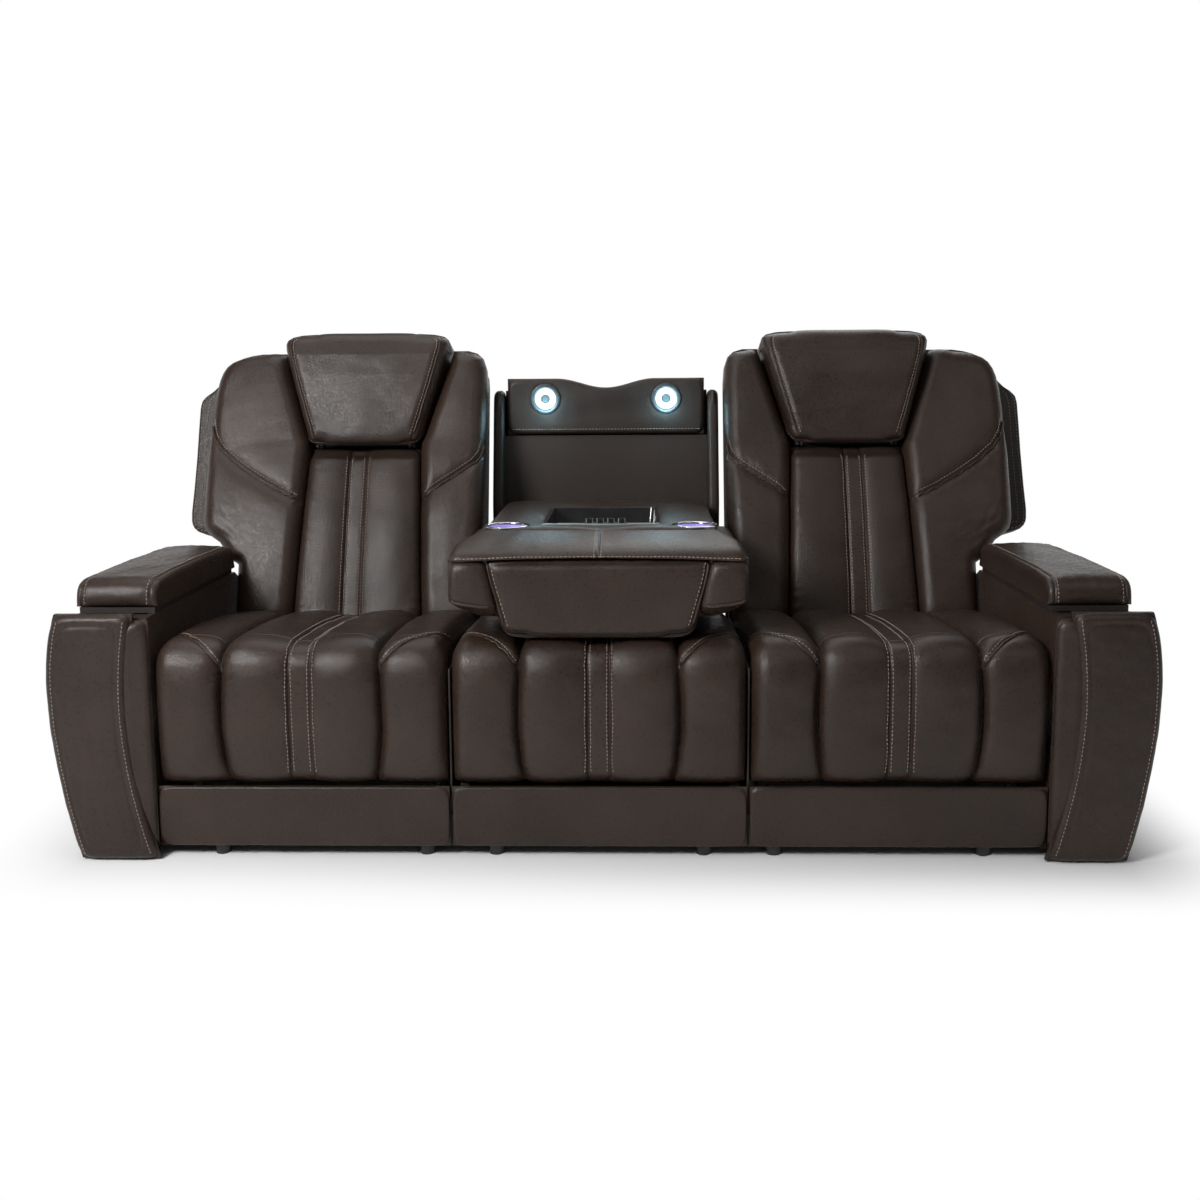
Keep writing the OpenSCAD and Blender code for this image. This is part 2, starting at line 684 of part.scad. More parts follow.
module seat_middle_cushion() {
    front = front_outline(footrest_back_y, seat_top(footrest_back_y));
    outline = concat(
        [[footrest_back_y, pad_low_z, 0], [footrest_back_y, cushion_low, 0], [seat_back_y, cushion_low, 0], [seat_back_y, seat_top(seat_back_y) - 30, 0.3],
         [seat_back_y - 12, seat_top(seat_back_y) - 6, 0.8]],
        [for (y = [seat_back_y - 60, seat_back_y - 160, seat_back_y - 260, seat_back_y - 360])
            [y, seat_top(y), 1]],
        [for (k = [2:len(front) - 1]) front[k]]);
    color(leather) padded(outline, seat_seams, [footrest_back_y - 10, cushion_low + 40]);
}

// Middle place: fixed rear with its recess and light bar
side_in = 268;
side_out = 296;
side_front_y = rear_rail_y + rear_rail_t + seat_fit;
bar_front_y = 415;
bar_back_y = 462;
rear_board_t = 18;
side_top = bar_top - 32;

module middle_back_frame() {
    outline = [
        [side_front_y, foot_h + 6], [bar_back_y + rear_board_t, foot_h + 6],
        [bar_back_y + rear_board_t, side_top], [bar_front_y + 4, side_top],
        [bar_front_y, side_top - 4], [side_front_y, table_z - 10]];
    color(leather_dark) {
        board_yz(side_in, side_out, outline);
        board_yz(-side_out, -side_in, outline);
        block([-side_in - 1, bar_back_y, foot_h + 6], [side_in + 1, bar_back_y + rear_board_t, side_top]);
    }
}

module recess_panel() {
    panel_y = bar_front_y + 13;
    color(black) block([-side_in + seat_fit, panel_y, table_pivot_z - 160],
                       [side_in - seat_fit, panel_y + 10, bar_top - bar_h - 4]);
}

bar_half = 259;
dip_half = 130;

module light_bar() {
    top = concat(
        [[bar_half, bar_top]],
        [for (i = [0:12]) let (x = dip_half - i * dip_half / 6)
            [x, bar_top - bar_dip * (1 + cos(180 * x / dip_half)) / 2]],
        [[-bar_half, bar_top]]);
    color(leather_dark) difference() {
        board_xz(bar_front_y, bar_back_y, concat([[-bar_half, bar_top - bar_h], [bar_half, bar_top - bar_h]], top));
        for (s = [-1, 1]) translate([s * light_x, bar_front_y - 1, light_z]) rotate([-90, 0, 0])
            cylinder(r = light_r - 6 + run_fit, h = 16);
    }
}

light_z = bar_top - 53;
button_r = 8;
bezel_t = 6;

module reading_lights() {
    color("white") for (s = [-1, 1]) translate([s * light_x, bar_front_y, light_z]) rotate([90, 0, 0])
        difference() {
            union() {
                translate([0, 0, -14]) cylinder(r = light_r - 6, h = 15);
                translate([0, 0, soft_gap]) cylinder(r = light_r, h = bezel_t);
            }
            translate([0, 0, bezel_t - 3]) cylinder(r = light_r - 8, h = 10);
            translate([0, 0, -6]) cylinder(r = button_r + run_fit, h = 30);
        }
}

module light_button(side) {
    color("silver") translate([side * light_x, bar_front_y - bezel_t + 2, light_z]) rotate([-90, 0, 0])
        cylinder(r = button_r, h = bezel_t + 4 - button_travel - soft_gap);
}

pin_r = 8;
bracket_t = 6;
lug_in = table_w / 2 - 18;

module table_brackets() {
    color(steel) for (s = [-1, 1]) {
        block([s > 0 ? side_in - bracket_t : -side_in, table_pivot_y, table_pivot_z - 22],
              [s > 0 ? side_in : -side_in + bracket_t, bar_front_y, table_pivot_z + 22]);
        rod_x(s > 0 ? side_in - bracket_t : -side_in, s > 0 ? side_in : -side_in + bracket_t,
              table_pivot_y, table_pivot_z, 22);
        rod_x(s > 0 ? lug_in : -side_in, s > 0 ? side_in : -lug_in, table_pivot_y, table_pivot_z, pin_r);
    }
}

// The middle back, folded down: its rear face is the table top
table_half = table_w / 2;
cup_x = table_half - cup_r - cup_edge;
table_low = table_z - table_t;
cup_y = -190;
cup_wall = 4;
rim_r = cup_r + 9;
tray_w = table_w - 2 * tray_edge;
tray_front_y = -140;
tray_back_y = 184;

module table_panel() {
    lug_r = 20;
    color(leather_dark) difference() {
        union() {
            block([-table_half, table_front_y, table_low], [table_half, table_back_y, table_z]);
            for (s = [-1, 1]) {
                block([s > 0 ? lug_in : -table_half, table_pivot_y - lug_r, table_pivot_z],
                      [s > 0 ? table_half : -lug_in, table_pivot_y + lug_r, table_low + 1]);
                rod_x(s > 0 ? lug_in : -table_half, s > 0 ? table_half : -lug_in,
                      table_pivot_y, table_pivot_z, lug_r);
            }
        }
        rod_x(-table_half - 1, table_half + 1, table_pivot_y, table_pivot_z, pin_r + run_fit);
        for (s = [-1, 1]) translate([s * cup_x, cup_y, table_z - cup_depth - cup_wall])
            cylinder(r = cup_r + cup_wall + run_fit, h = cup_depth + cup_wall + 1);
        block([-tray_w / 2, tray_front_y, table_z - tray_depth], [tray_w / 2, tray_back_y, table_z + 1]);
    }
}

module cup_holders() {
    color("silver") for (s = [-1, 1]) translate([s * cup_x, cup_y, table_z]) difference() {
        union() {
            translate([0, 0, -cup_depth - cup_wall + 0.1]) cylinder(r = cup_r + cup_wall, h = cup_depth + cup_wall);
            translate([0, 0, 0.1]) cylinder(r = rim_r, h = 4);
        }
        translate([0, 0, -cup_depth]) cylinder(r = cup_r, h = cup_depth + 10);
    }
}

liner_t = 2;

module tray_liner() {
    low = [-tray_w / 2 + 0.2, tray_front_y + 0.2, table_z - tray_depth + 0.1];
    high = [tray_w / 2 - 0.2, tray_back_y - 0.2, table_z];
    color(black) difference() {
        block(low, high);
        block(low + [liner_t, liner_t, liner_t], high + [-liner_t, -liner_t, 1]);
    }
}

socket_pitch = 24;
socket_x = 10;

module socket_strip() {
    strip_front = tray_front_y - 20;
    color(black) difference() {
        block([socket_x - 2 * socket_pitch, strip_front, table_z + 0.1],
              [socket_x + 2 * socket_pitch, tray_front_y - 1, table_z + 7]);
        for (k = [-1.5:1:1.5]) block(
            [socket_x + k * socket_pitch - 7, strip_front + 5, table_z + 2.5],
            [socket_x + k * socket_pitch + 7, tray_front_y - 6, table_z + 8]);
    }
}

// Soft end and sides of the folded back
wing_low = 505;
roll_low = 610;
wing_back_y = 60;
wing_half = seat_half + 3;
pillow_end_half = table_half - 24;

function wing_ring(x) = let (
    a = abs(x),
    edge = max(0, (a - wing_half + 20) / 20),
    low = a < pillow_end_half + 2 ? roll_low : wing_low + 22 * edge,
    rear = a < table_half + 1 ? table_front_y - 0.5 : wing_back_y,
    high = a < table_half + 1 ? table_z : table_z - 32,
    roll = table_z - 30 * edge,
    front = seat_front_y + 16 * edge)
    [[x, rear, low], [x, rear, high], [x, (rear + table_front_y) / 2 - 10, high],
     [x, table_front_y - 40, roll - 1], [x, table_front_y - 110, roll - 4],
     [x, table_front_y - 165, roll - 14], [x, front + 10, roll - 26], [x, front + 1, roll - 40],
     [x, front, (roll + low) / 2 - 18], [x, front + 6, low + 4], [x, front + 24, low]];

module table_wings() {
    inner = [0.4, pillow_end_half + 1.5, pillow_end_half + 2.5, table_half + 0.9, table_half + 1.1, 280,
             wing_half - 12, wing_half - 4, wing_half];
    xs = concat([for (k = [len(inner) - 1:-1:0]) -inner[k]], inner);
    color(leather) skin([for (x = xs) wing_ring(x)],
                        [for (x = [xs[0], wing_half]) [x, table_front_y - 50, wing_low + 60]]);
}

// Headrest of the folded back, which hangs under the front roll
pillow_end_low = 456;
pillow_end_t = 130;

module table_pillow() {
    half = pillow_end_half - 4;
    flat_half = half - 42;
    right = [flat_half / 2, flat_half, half - 20, half - 6, half];
    xs = concat([for (k = [len(right) - 1:-1:0]) -right[k]], [0], right);
    high = roll_low - soft_gap;
    rear = seat_front_y + pillow_end_t;
    function ring(x) = let (low = pillow_end_low + max(0, abs(x) - flat_half) * 2.6, e = 10 * pow(abs(x) / half, 6)) [
        [x, rear - 22, low], [x, rear - e, low + 16], [x, rear - e, high], [x, seat_front_y + 10, high],
        [x, seat_front_y + 2 + e, high - 8], [x, seat_front_y - 3 + e, (low + high) / 2],
        [x, seat_front_y + 8 + e, low + 14], [x, seat_front_y + 30, low]];
    color(leather) skin([for (x = xs) ring(x)]);
}

// Padded face of the middle back, which lies under the table
module table_cushion() {
    low = table_low - 52;
    color(leather) board_yz(-pillow_end_half + 8, pillow_end_half - 8, [
        [table_front_y - 30, low], [seat_back_y - 12, low], [seat_back_y, low + 12],
        [seat_back_y, table_low - soft_gap], [table_front_y - 1, table_low - soft_gap],
        [table_front_y - 1, roll_low - soft_gap], [table_front_y - 42, roll_low - soft_gap],
        [table_front_y - 42, low + 12]]);
}

base_frame();
feet();
kick_panels();
arm_box(-1);  // arm_box_left
arm_box(1);  // arm_box_right
arm_front(-1);  // arm_front_left
arm_front(1);  // arm_front_right
arm_skin(-1);  // arm_skin_left
arm_skin(1);  // arm_skin_right
lid_hinges();
lid_board(-1);  // lid_board_left
lid_board(1);  // lid_board_right
lid_pad(-1);  // lid_pad_left
lid_pad(1);  // lid_pad_right
seat_frame(-1);  // seat_frame_left
seat_frame(1);  // seat_frame_right
seat_cushion(-1);  // seat_cushion_left
seat_cushion(1);  // seat_cushion_right
recline_motor(-1);  // recline_motor_left
recline_motor(1);  // recline_motor_right
motor_block(-1);  // motor_block_left
motor_block(1);  // motor_block_right
rear_links(-1);  // rear_links_left
rear_links(1);  // rear_links_right
front_links(-1);  // front_links_left
front_links(1);  // front_links_right
footrest_board(-1);  // footrest_board_left
footrest_board(1);  // footrest_board_right
footrest_pad(-1);  // footrest_pad_left
footrest_pad(1);  // footrest_pad_right
back_frame(-1);  // back_frame_left
back_frame(1);  // back_frame_right
back_cushion(-1);  // back_cushion_left
back_cushion(1);  // back_cushion_right
back_shell(-1);  // back_shell_left
back_shell(1);  // back_shell_right
headrest_plate(-1);  // headrest_plate_left
headrest_plate(1);  // headrest_plate_right
headrest_pillow(-1);  // headrest_pillow_left
headrest_pillow(1);  // headrest_pillow_right
headrest_motor(-1);  // headrest_motor_left
headrest_motor(1);  // headrest_motor_right
seat_middle_deck();
seat_middle_cushion();
middle_back_frame();
recess_panel();
light_bar();
reading_lights();
light_button(-1);  // light_button_left
light_button(1);  // light_button_right
table_brackets();
table_panel();
table_cushion();
table_wings();
table_pillow();
cup_holders();
tray_liner();
socket_strip();
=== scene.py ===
import bmesh
import bpy
import json
import math
import numpy as np
from mathutils import Matrix, Vector
from mathutils.bvhtree import BVHTree

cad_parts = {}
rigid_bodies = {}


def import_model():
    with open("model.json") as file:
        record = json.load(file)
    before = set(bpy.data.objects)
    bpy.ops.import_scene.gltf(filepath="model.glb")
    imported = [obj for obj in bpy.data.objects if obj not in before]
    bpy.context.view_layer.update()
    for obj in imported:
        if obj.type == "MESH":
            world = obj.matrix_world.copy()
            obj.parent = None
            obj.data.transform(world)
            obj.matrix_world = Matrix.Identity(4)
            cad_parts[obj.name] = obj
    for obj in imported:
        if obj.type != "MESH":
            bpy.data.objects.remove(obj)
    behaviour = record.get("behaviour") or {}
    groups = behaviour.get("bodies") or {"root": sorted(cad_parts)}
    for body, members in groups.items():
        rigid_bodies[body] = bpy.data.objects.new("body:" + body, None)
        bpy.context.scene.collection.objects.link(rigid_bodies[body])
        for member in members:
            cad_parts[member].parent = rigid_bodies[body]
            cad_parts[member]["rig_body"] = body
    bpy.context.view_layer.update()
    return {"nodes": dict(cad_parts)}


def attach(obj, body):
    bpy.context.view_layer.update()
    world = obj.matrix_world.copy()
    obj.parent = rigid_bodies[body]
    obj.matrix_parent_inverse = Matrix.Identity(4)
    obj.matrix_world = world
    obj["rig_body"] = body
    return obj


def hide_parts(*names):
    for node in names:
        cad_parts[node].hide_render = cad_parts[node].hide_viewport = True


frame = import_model()
bpy.ops.object.select_all(action="DESELECT")

# Camera at standing height a little right of the middle, tipped down and rolled a touch,
# with the lens axis slightly above the picture's middle, as the photograph was taken.
eye = (0.072, -2.978, 1.008)
pitch, yaw, roll = math.radians(7.82), -0.0264, -0.007
ahead = Vector((math.sin(yaw) * math.cos(pitch), math.cos(yaw) * math.cos(pitch), -math.sin(pitch)))
level = Vector((math.cos(yaw), -math.sin(yaw), 0))
upward = level.cross(ahead)
right_axis = math.cos(roll) * level + math.sin(roll) * upward
up_axis = -math.sin(roll) * level + math.cos(roll) * upward
camera = bpy.data.objects.new("camera", bpy.data.cameras.new("camera"))
bpy.context.scene.collection.objects.link(camera)
turn = Matrix((right_axis, up_axis, -ahead)).transposed().to_4x4()
camera.matrix_world = Matrix.Translation(eye) @ turn
camera.data.sensor_width, camera.data.lens = 36, 38.398
camera.data.shift_y, camera.data.clip_end = -0.05, 60
bpy.context.scene.camera = camera


# Floor and light: a pale floor that fades to white away from the sofa, a white surround,
# and four large soft lamps, the strongest from the upper left as the highlights show.
def add(tree, kind, settings=None, **sockets):
    made = tree.nodes.new("ShaderNode" + kind)
    for key, value in (settings or {}).items():
        setattr(made, key, value)
    for key, value in sockets.items():
        socket = made.inputs[int(key[1:])] if key[0] == "_" else made.inputs[key.replace("_", " ")]
        if isinstance(value, bpy.types.NodeSocket):
            tree.links.new(value, socket)
        else:
            socket.default_value = value
    return made


def maths(operation, a, b=0.0):
    return add(a.id_data, "Math", {"operation": operation}, _0=a, _1=b).outputs[0]


def limits(value, low, high, out_low=0.0, out_high=1.0):
    return add(value.id_data, "MapRange", {"interpolation_type": "SMOOTHSTEP"}, Value=value, From_Min=low,
               From_Max=high, To_Min=out_low, To_Max=out_high).outputs[0]


def blank(name):
    material = bpy.data.materials.new(name)
    material.use_nodes = True
    tree = material.node_tree
    tree.nodes.clear()
    return material, tree, add(tree, "TexCoord").outputs["Object"]


def finish(shader):
    tree = shader.id_data
    tree.links.new(shader.outputs[0], add(tree, "OutputMaterial").inputs["Surface"])


def lamp(name, kind, power, spot):
    made = bpy.data.objects.new(name, bpy.data.lights.new(name, kind))
    made.data.energy = power
    made.location = spot
    bpy.context.scene.collection.objects.link(made)
    return made


floor_material, tree, place = blank("floor")
axes = add(tree, "SeparateXYZ", Vector=place).outputs
past_x, past_y = [maths("MAXIMUM", maths("SUBTRACT", maths("ABSOLUTE", axis), half))
                  for axis, half in ((axes[0], 1.03), (axes[1], 0.44))]
away = maths("SQRT", maths("ADD", maths("MULTIPLY", past_x, past_x), maths("MULTIPLY", past_y, past_y)))
rays = add(tree, "LightPath").outputs
looked_at = maths("MAXIMUM", maths("MULTIPLY", rays["Is Glossy Ray"], 0.4),
                  maths("MAXIMUM", rays["Is Camera Ray"], rays["Is Transmission Ray"]))
near = add(tree, "BsdfDiffuse", Color=(0.9, 0.9, 0.9, 1))
far = add(tree, "Emission", Color=(1, 1, 1, 1), Strength=1.0)
finish(add(tree, "MixShader", Fac=maths("MULTIPLY", limits(away, 0.02, 0.3), looked_at),
           _1=near.outputs[0], _2=far.outputs[0]))
bpy.ops.mesh.primitive_plane_add(size=60)
floor = bpy.context.object
floor.name = "floor"
floor.data.materials.append(floor_material)

world = bpy.data.worlds.new("surround")
world.use_nodes = True
tree = world.node_tree
tree.nodes.clear()
rays = add(tree, "LightPath").outputs
toward = add(tree, "SeparateXYZ", Vector=add(tree, "TexCoord").outputs["Generated"]).outputs
mirrored = maths("MULTIPLY", maths("MULTIPLY", rays["Is Glossy Ray"], limits(toward[1], -0.1, 0.5)),
                 limits(toward[2], 0.12, 0.4, 1.0, 0.15))
seen = maths("MAXIMUM", mirrored, maths("MAXIMUM", rays["Is Camera Ray"], rays["Is Transmission Ray"]))
sky = add(tree, "Background", Color=(1, 1, 1, 1), Strength=limits(seen, 0.0, 1.0, 0.13, 1.0))
tree.links.new(sky.outputs[0], add(tree, "OutputWorld").inputs["Surface"])
bpy.context.scene.world = world
bpy.context.scene.view_settings.view_transform = "Standard"

for name, spot, aim, size, power in (
        ("key lamp", (-2.1, -2.7, 2.3), (-0.4, 0, 0.7), 0.95, 116),
        ("fill lamp", (1.8, -2.1, 3.2), (0.5, 0.2, 0.9), 1.6, 11),
        ("top lamp", (-0.7, 0.1, 3.1), (-0.2, -0.1, 0.4), 2.2, 27),
        ("rear lamp", (0.8, 3.0, 3.4), (0, 0, 0.6), 2.4, 40)):
    made = lamp(name, "AREA", power, spot)
    made.data.size = size
    made.rotation_euler = (Vector(aim) - Vector(spot)).to_track_quat("-Z", "Y").to_euler()


# Base: rails and bearers under all three seats, with a fixed deck in the middle, of timber coloured
# near-black as painted shade for the gaps they show through, on small glides of textured black plastic.
def mixed(factor, a, b):
    return add(factor.id_data, "Mix", {"data_type": "RGBA"}, _0=factor, _6=a, _7=b).outputs[2]


def noise(place, scale, detail, **more):
    return add(place.id_data, "TexNoise", Vector=place, Scale=scale, Detail=detail, **more).outputs["Fac"]


def bumped(height, distance, strength):
    return add(height.id_data, "Bump", Height=height, Distance=distance, Strength=strength).outputs[0]


def surface(tree, **sockets):
    finish(add(tree, "BsdfPrincipled", **sockets))


def tint(colour, factor):
    return [c * factor for c in colour[:3]] + [1]


def timber(name, pale_wood=(0.55, 0.38, 0.21, 1), dark_wood=(0.3, 0.18, 0.09, 1)):
    material, tree, place = blank(name)
    along = add(tree, "Mapping", Vector=place, Scale=(1.2, 14.0, 14.0)).outputs[0]
    ring = noise(along, 6.0, 8.0, Roughness=0.65, Distortion=0.4)
    fibre = noise(along, 60.0, 4.0)
    shade = mixed(limits(ring, 0.35, 0.66), dark_wood, pale_wood)
    shade = mixed(limits(fibre, 0.4, 0.8, 0.0, 0.4), shade, tint(dark_wood, 0.7))
    surface(tree, Base_Color=shade, Roughness=0.66, Normal=bumped(fibre, 0.0006, 0.35))
    return material


def plastic(name, colour, roughness, coat=0.0):
    material, tree, place = blank(name)
    spark, cloud = noise(place, 900.0, 3.0), noise(place, 24.0, 4.0)
    surface(tree, Base_Color=mixed(limits(cloud, 0.3, 0.7), tint(colour, 0.8), tint(colour, 1.2)),
            Roughness=limits(cloud, 0.3, 0.7, roughness - 0.04, roughness + 0.05),
            Normal=bumped(spark, 0.0002, 0.05 if coat else 0.4), Coat_Weight=coat, Coat_Roughness=0.05)
    return material


def dress(material, *nodes):
    for node in nodes:
        for name in ([node + "left", node + "right"] if node[-1] == "_" else [node]):
            frame["nodes"][name].material_slots[0].material = material


# Timber coloured near-black: painted shade for the frames where they show through gaps.
painted_shade_timber = timber("timber_black_as_painted_shade", (0.022, 0.02, 0.019, 1), (0.01, 0.009, 0.009, 1))
black = plastic("textured_black", [0.018, 0.018, 0.019], 0.52)
dress(painted_shade_timber, "base_frame", "seat_middle_deck")
dress(black, "feet")


# Dust cover: black non-woven cloth stapled tight under the base rails, sagging a little
# between them, so that no floor shows through the seats.
def crest(t, power=0.75):
    return np.sin(math.pi * np.clip(t, 0, 1)) ** power


def belongs(made, body, nodes):
    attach(made, body)
    if nodes:
        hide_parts(*nodes)


def done(name, material, body, nodes=(), rounding=0.0):
    if bpy.context.object.mode == "EDIT":
        bpy.ops.object.mode_set(mode="OBJECT")
    made = bpy.context.object
    made.name = made.data.name = name
    bpy.ops.object.transform_apply()
    if rounding:
        soften = made.modifiers.new("softened edges", "BEVEL")
        soften.width, soften.segments, soften.limit_method = rounding, 3, "ANGLE"
        bpy.ops.object.modifier_apply(modifier=soften.name)
    made.data.materials.clear()
    made.data.materials.append(material)
    bpy.ops.object.shade_smooth_by_angle(angle=math.radians(40))
    belongs(made, body, nodes)
    return made


lining, tree, place = blank("black_lining")
dimple = add(tree, "TexVoronoi", Vector=place, Scale=420.0, Randomness=0.15).outputs["Distance"]
surface(tree, Roughness=0.92, Specular_IOR_Level=0.15, Normal=bumped(dimple, 0.0003, 0.5), Base_Color=mixed(
    limits(noise(place, 700.0, 5.0), 0.3, 0.7), (0.006, 0.006, 0.006, 1), (0.014, 0.014, 0.014, 1)))
long, wide, middle_y = 1.824, 0.78, -0.0505
bpy.ops.mesh.primitive_grid_add(x_subdivisions=56, y_subdivisions=24, size=1, location=(0, middle_y, 0.0219))
cover = bpy.context.object
cover.scale = (long, wide, 1)
bpy.ops.object.transform_apply()
for v in cover.data.vertices:
    v.co.z -= 0.0022 * crest(v.co.x / long + 0.5, 0.4) * crest((v.co.y - middle_y) / wide + 0.5, 0.4)
thick = cover.modifiers.new("cloth", "SOLIDIFY")
thick.thickness, thick.offset = 0.0006, -1
bpy.ops.object.modifier_apply(modifier=thick.name)
done("dust_cover", lining, "root")


# Dividers: thin boards between the seats, wrapped in leather darkened as painted shade for the
# gap, fixed upright on the base rails, with softened edges. The leather has grain, pores, creases
# and worn high places.
def leather(name, colour, roughness=0.31, perforated=False):
    material, tree, place = blank(name)
    mottle = noise(place, 140.0, 3.0)
    warp = add(tree, "TexNoise", Vector=place, Scale=90.0, Detail=2.0).outputs["Color"]
    bent = add(tree, "VectorMath", {"operation": "MULTIPLY_ADD"}, _0=warp,
               _1=(0.004, 0.004, 0.004), _2=place).outputs[0]
    grain, fine = [add(tree, "TexVoronoi", {"feature": "DISTANCE_TO_EDGE"}, Vector=bent, Scale=scale)
                   .outputs[0] for scale in (430.0, 1150.0)]
    fold = noise(place, 26.0, 5.0, Roughness=0.62, Distortion=0.7)
    crease = maths("ABSOLUTE", maths("SUBTRACT", fold, 0.5))
    valley = limits(grain, 0.0, 0.16)
    wear = limits(add(tree, "NewGeometry").outputs["Pointiness"], 0.5, 0.56)
    shade = mixed(limits(noise(place, 5.0, 5.0, Roughness=0.6), 0.32, 0.68), tint(colour, 0.72),
                  tint(colour, 1.22))
    for amount, factor in ((limits(mottle, 0.35, 0.75, 0.0, 0.35), 1.45),
                           (limits(valley, 0.0, 1.0, 0.22, 0.0), 0.45),
                           (limits(wear, 0.0, 1.0, 0.0, 0.35), 1.9)):
        shade = mixed(amount, shade, tint(colour, factor))
    rough = maths("ADD", limits(mottle, 0.3, 0.7, roughness - 0.05, roughness + 0.08),
                  limits(valley, 0.0, 1.0, 0.09, 0.0))
    height = maths("ADD", maths("MULTIPLY", valley, 0.55), limits(fine, 0.0, 0.18, 0.0, 0.25))
    height = maths("ADD", height, maths("MULTIPLY", limits(crease, 0.0, 0.05), 0.7))
    if perforated:
        mask = add(tree, "Attribute", {"attribute_name": "holes"}).outputs["Fac"]
        pattern = add(tree, "Mapping", Vector=add(tree, "UVMap", {"uv_map": "metres"}).outputs[0],
                      Rotation=(0, 0, math.radians(45)))
        dots = add(tree, "TexVoronoi", {"voronoi_dimensions": "2D", "feature": "F1"},
                   Vector=pattern.outputs[0], Scale=190.0, Randomness=0.0).outputs["Distance"]
        hole = maths("MULTIPLY", limits(dots, 0.17, 0.25, 1.0, 0.0), mask)
        # Holes painted near-black: painted shade inside each punched hole, besides the dip in the bump.
        shade = mixed(hole, shade, (0.004, 0.003, 0.003, 1))
        height = maths("SUBTRACT", height, maths("MULTIPLY", hole, 3.0))
        rough = maths("ADD", rough, maths("MULTIPLY", hole, 0.4))
    surface(tree, Base_Color=shade, Roughness=rough, Normal=bumped(height, 0.0003, 0.42),
            Specular_IOR_Level=0.36)
    return material


def chosen(kind, pick):
    mesh = bpy.context.object.data
    bpy.ops.mesh.select_mode(type=kind)
    bpy.ops.mesh.select_all(action="DESELECT")
    shape = bmesh.from_edit_mesh(mesh)
    for part in (shape.faces if kind == "FACE" else shape.edges):
        part.select_set(bool(pick(part)))
    bmesh.update_edit_mesh(mesh)


def upright(edge):
    a, b = edge.verts
    return abs(a.co.z - b.co.z) > 0.9 * edge.calc_length()


def block(size, centre, corner=0.0, segments=3):
    bpy.ops.mesh.primitive_cube_add(size=1, location=centre)
    bpy.context.object.scale = size
    bpy.ops.object.transform_apply()
    bpy.ops.object.mode_set(mode="EDIT")
    if corner:
        chosen("EDGE", upright)
        bpy.ops.mesh.bevel(offset=corner, segments=segments, affect="EDGES")


# Darker, duller copy of the leather: painted shade for the dividers and lid boards in the gaps.
gap_shade_leather = leather("leather_darkened_as_gap_shade", [0.02, 0.015, 0.0135], 0.5)
seat_pitch = 0.61
sides = (("left", -1), ("right", 1))
for side, way in sides:
    block((0.0044, 0.524, 0.306), (way * seat_pitch / 2, -0.178, 0.2415), 0.0018)
    done("divider_" + side, gap_shade_leather, "root", (), 0.0008)


# Recliner mechanism: black-enamelled seat frames, zinc-plated bars, cranks and drive blocks
# and black geared motors, bolted together, with a plain timber board behind each footrest pad.
def metal(name, colour, roughness, spangle):
    material, tree, place = blank(name)
    flake = add(tree, "TexVoronoi", Vector=place, Scale=spangle).outputs["Color"]
    smear = noise(place, 30.0, 5.0)
    part = add(tree, "SeparateColor", Color=flake).outputs[0]
    rough = maths("ADD", limits(smear, 0.3, 0.7, roughness * 0.75, roughness * 1.25),
                  limits(part, 0.0, 1.0, 0.0, roughness * 0.3))
    surface(tree, Metallic=1.0, Roughness=rough, Normal=bumped(smear, 0.0003, 0.12),
            Base_Color=mixed(limits(smear, 0.35, 0.7), tint(colour, 0.85), tint(colour, 1)))
    return material


enamel = plastic("black_enamel", [0.03, 0.03, 0.031], 0.34, 0.3)
zinc = metal("zinc_steel", [0.56, 0.57, 0.58], 0.38, 420.0)
dress(enamel, "seat_frame_")
dress(zinc, "motor_block_", "rear_links_", "front_links_")
dress(black, "recline_motor_")
dress(timber("sawn_timber"), "footrest_board_")


# Seats: foam cushions and footrest pads in one padded cover, with a centre strip between two
# stitched lines, deep seams beside the bolsters and a curved piped seam across each bolster.
def places(low, high, step, near=(), tight=0.0013):
    grid = list(np.arange(low, high, step))
    for mark in (low, high, *near):
        for away in (0, 1, 2.2, 3.8, 6, 9, 13, 18):
            grid += [mark - away * tight, mark + away * tight]
    kept = [low]
    for g in sorted(grid):
        if kept[-1] + tight * 0.7 < g < high - tight * 0.7:
            kept.append(g)
    return np.array(kept + [high])


def outline(corners, step):
    c, turned = np.array(corners, float), []
    for i in range(len(c)):
        here, before, after = c[i], c[i - 1], c[(i + 1) % len(c)]
        back, on = np.linalg.norm((before - here)[:2]), np.linalg.norm((after - here)[:2])
        a = here + (before - here) * min(here[2], back * 0.49) / back
        b = here + (after - here) * min(here[2], on * 0.49) / on
        turned += [(1 - t) ** 2 * a + 2 * t * (1 - t) * here + t * t * b for t in np.linspace(0, 1, 7)]
    turned = np.array(turned + turned[:1])
    run = np.concatenate([[0], np.cumsum(np.linalg.norm(np.diff(turned[:, :2], axis=0), axis=1))])
    at = np.linspace(0, run[-1], int(run[-1] / step) + 1)[:-1]
    return np.stack([np.interp(at, run, turned[:, k]) for k in range(c.shape[1])], 1)


def rows_to_faces(count, ring):
    i, k = np.meshgrid(np.arange(count - 1), np.arange(ring), indexing="ij")
    j = (k + 1) % ring
    quads = np.stack([i * ring + k, i * ring + j, (i + 1) * ring + j, (i + 1) * ring + k], -1)
    ends = [list(range(ring))[::-1], list(range((count - 1) * ring, count * ring))]
    return quads.reshape(-1, 4).tolist() + ends


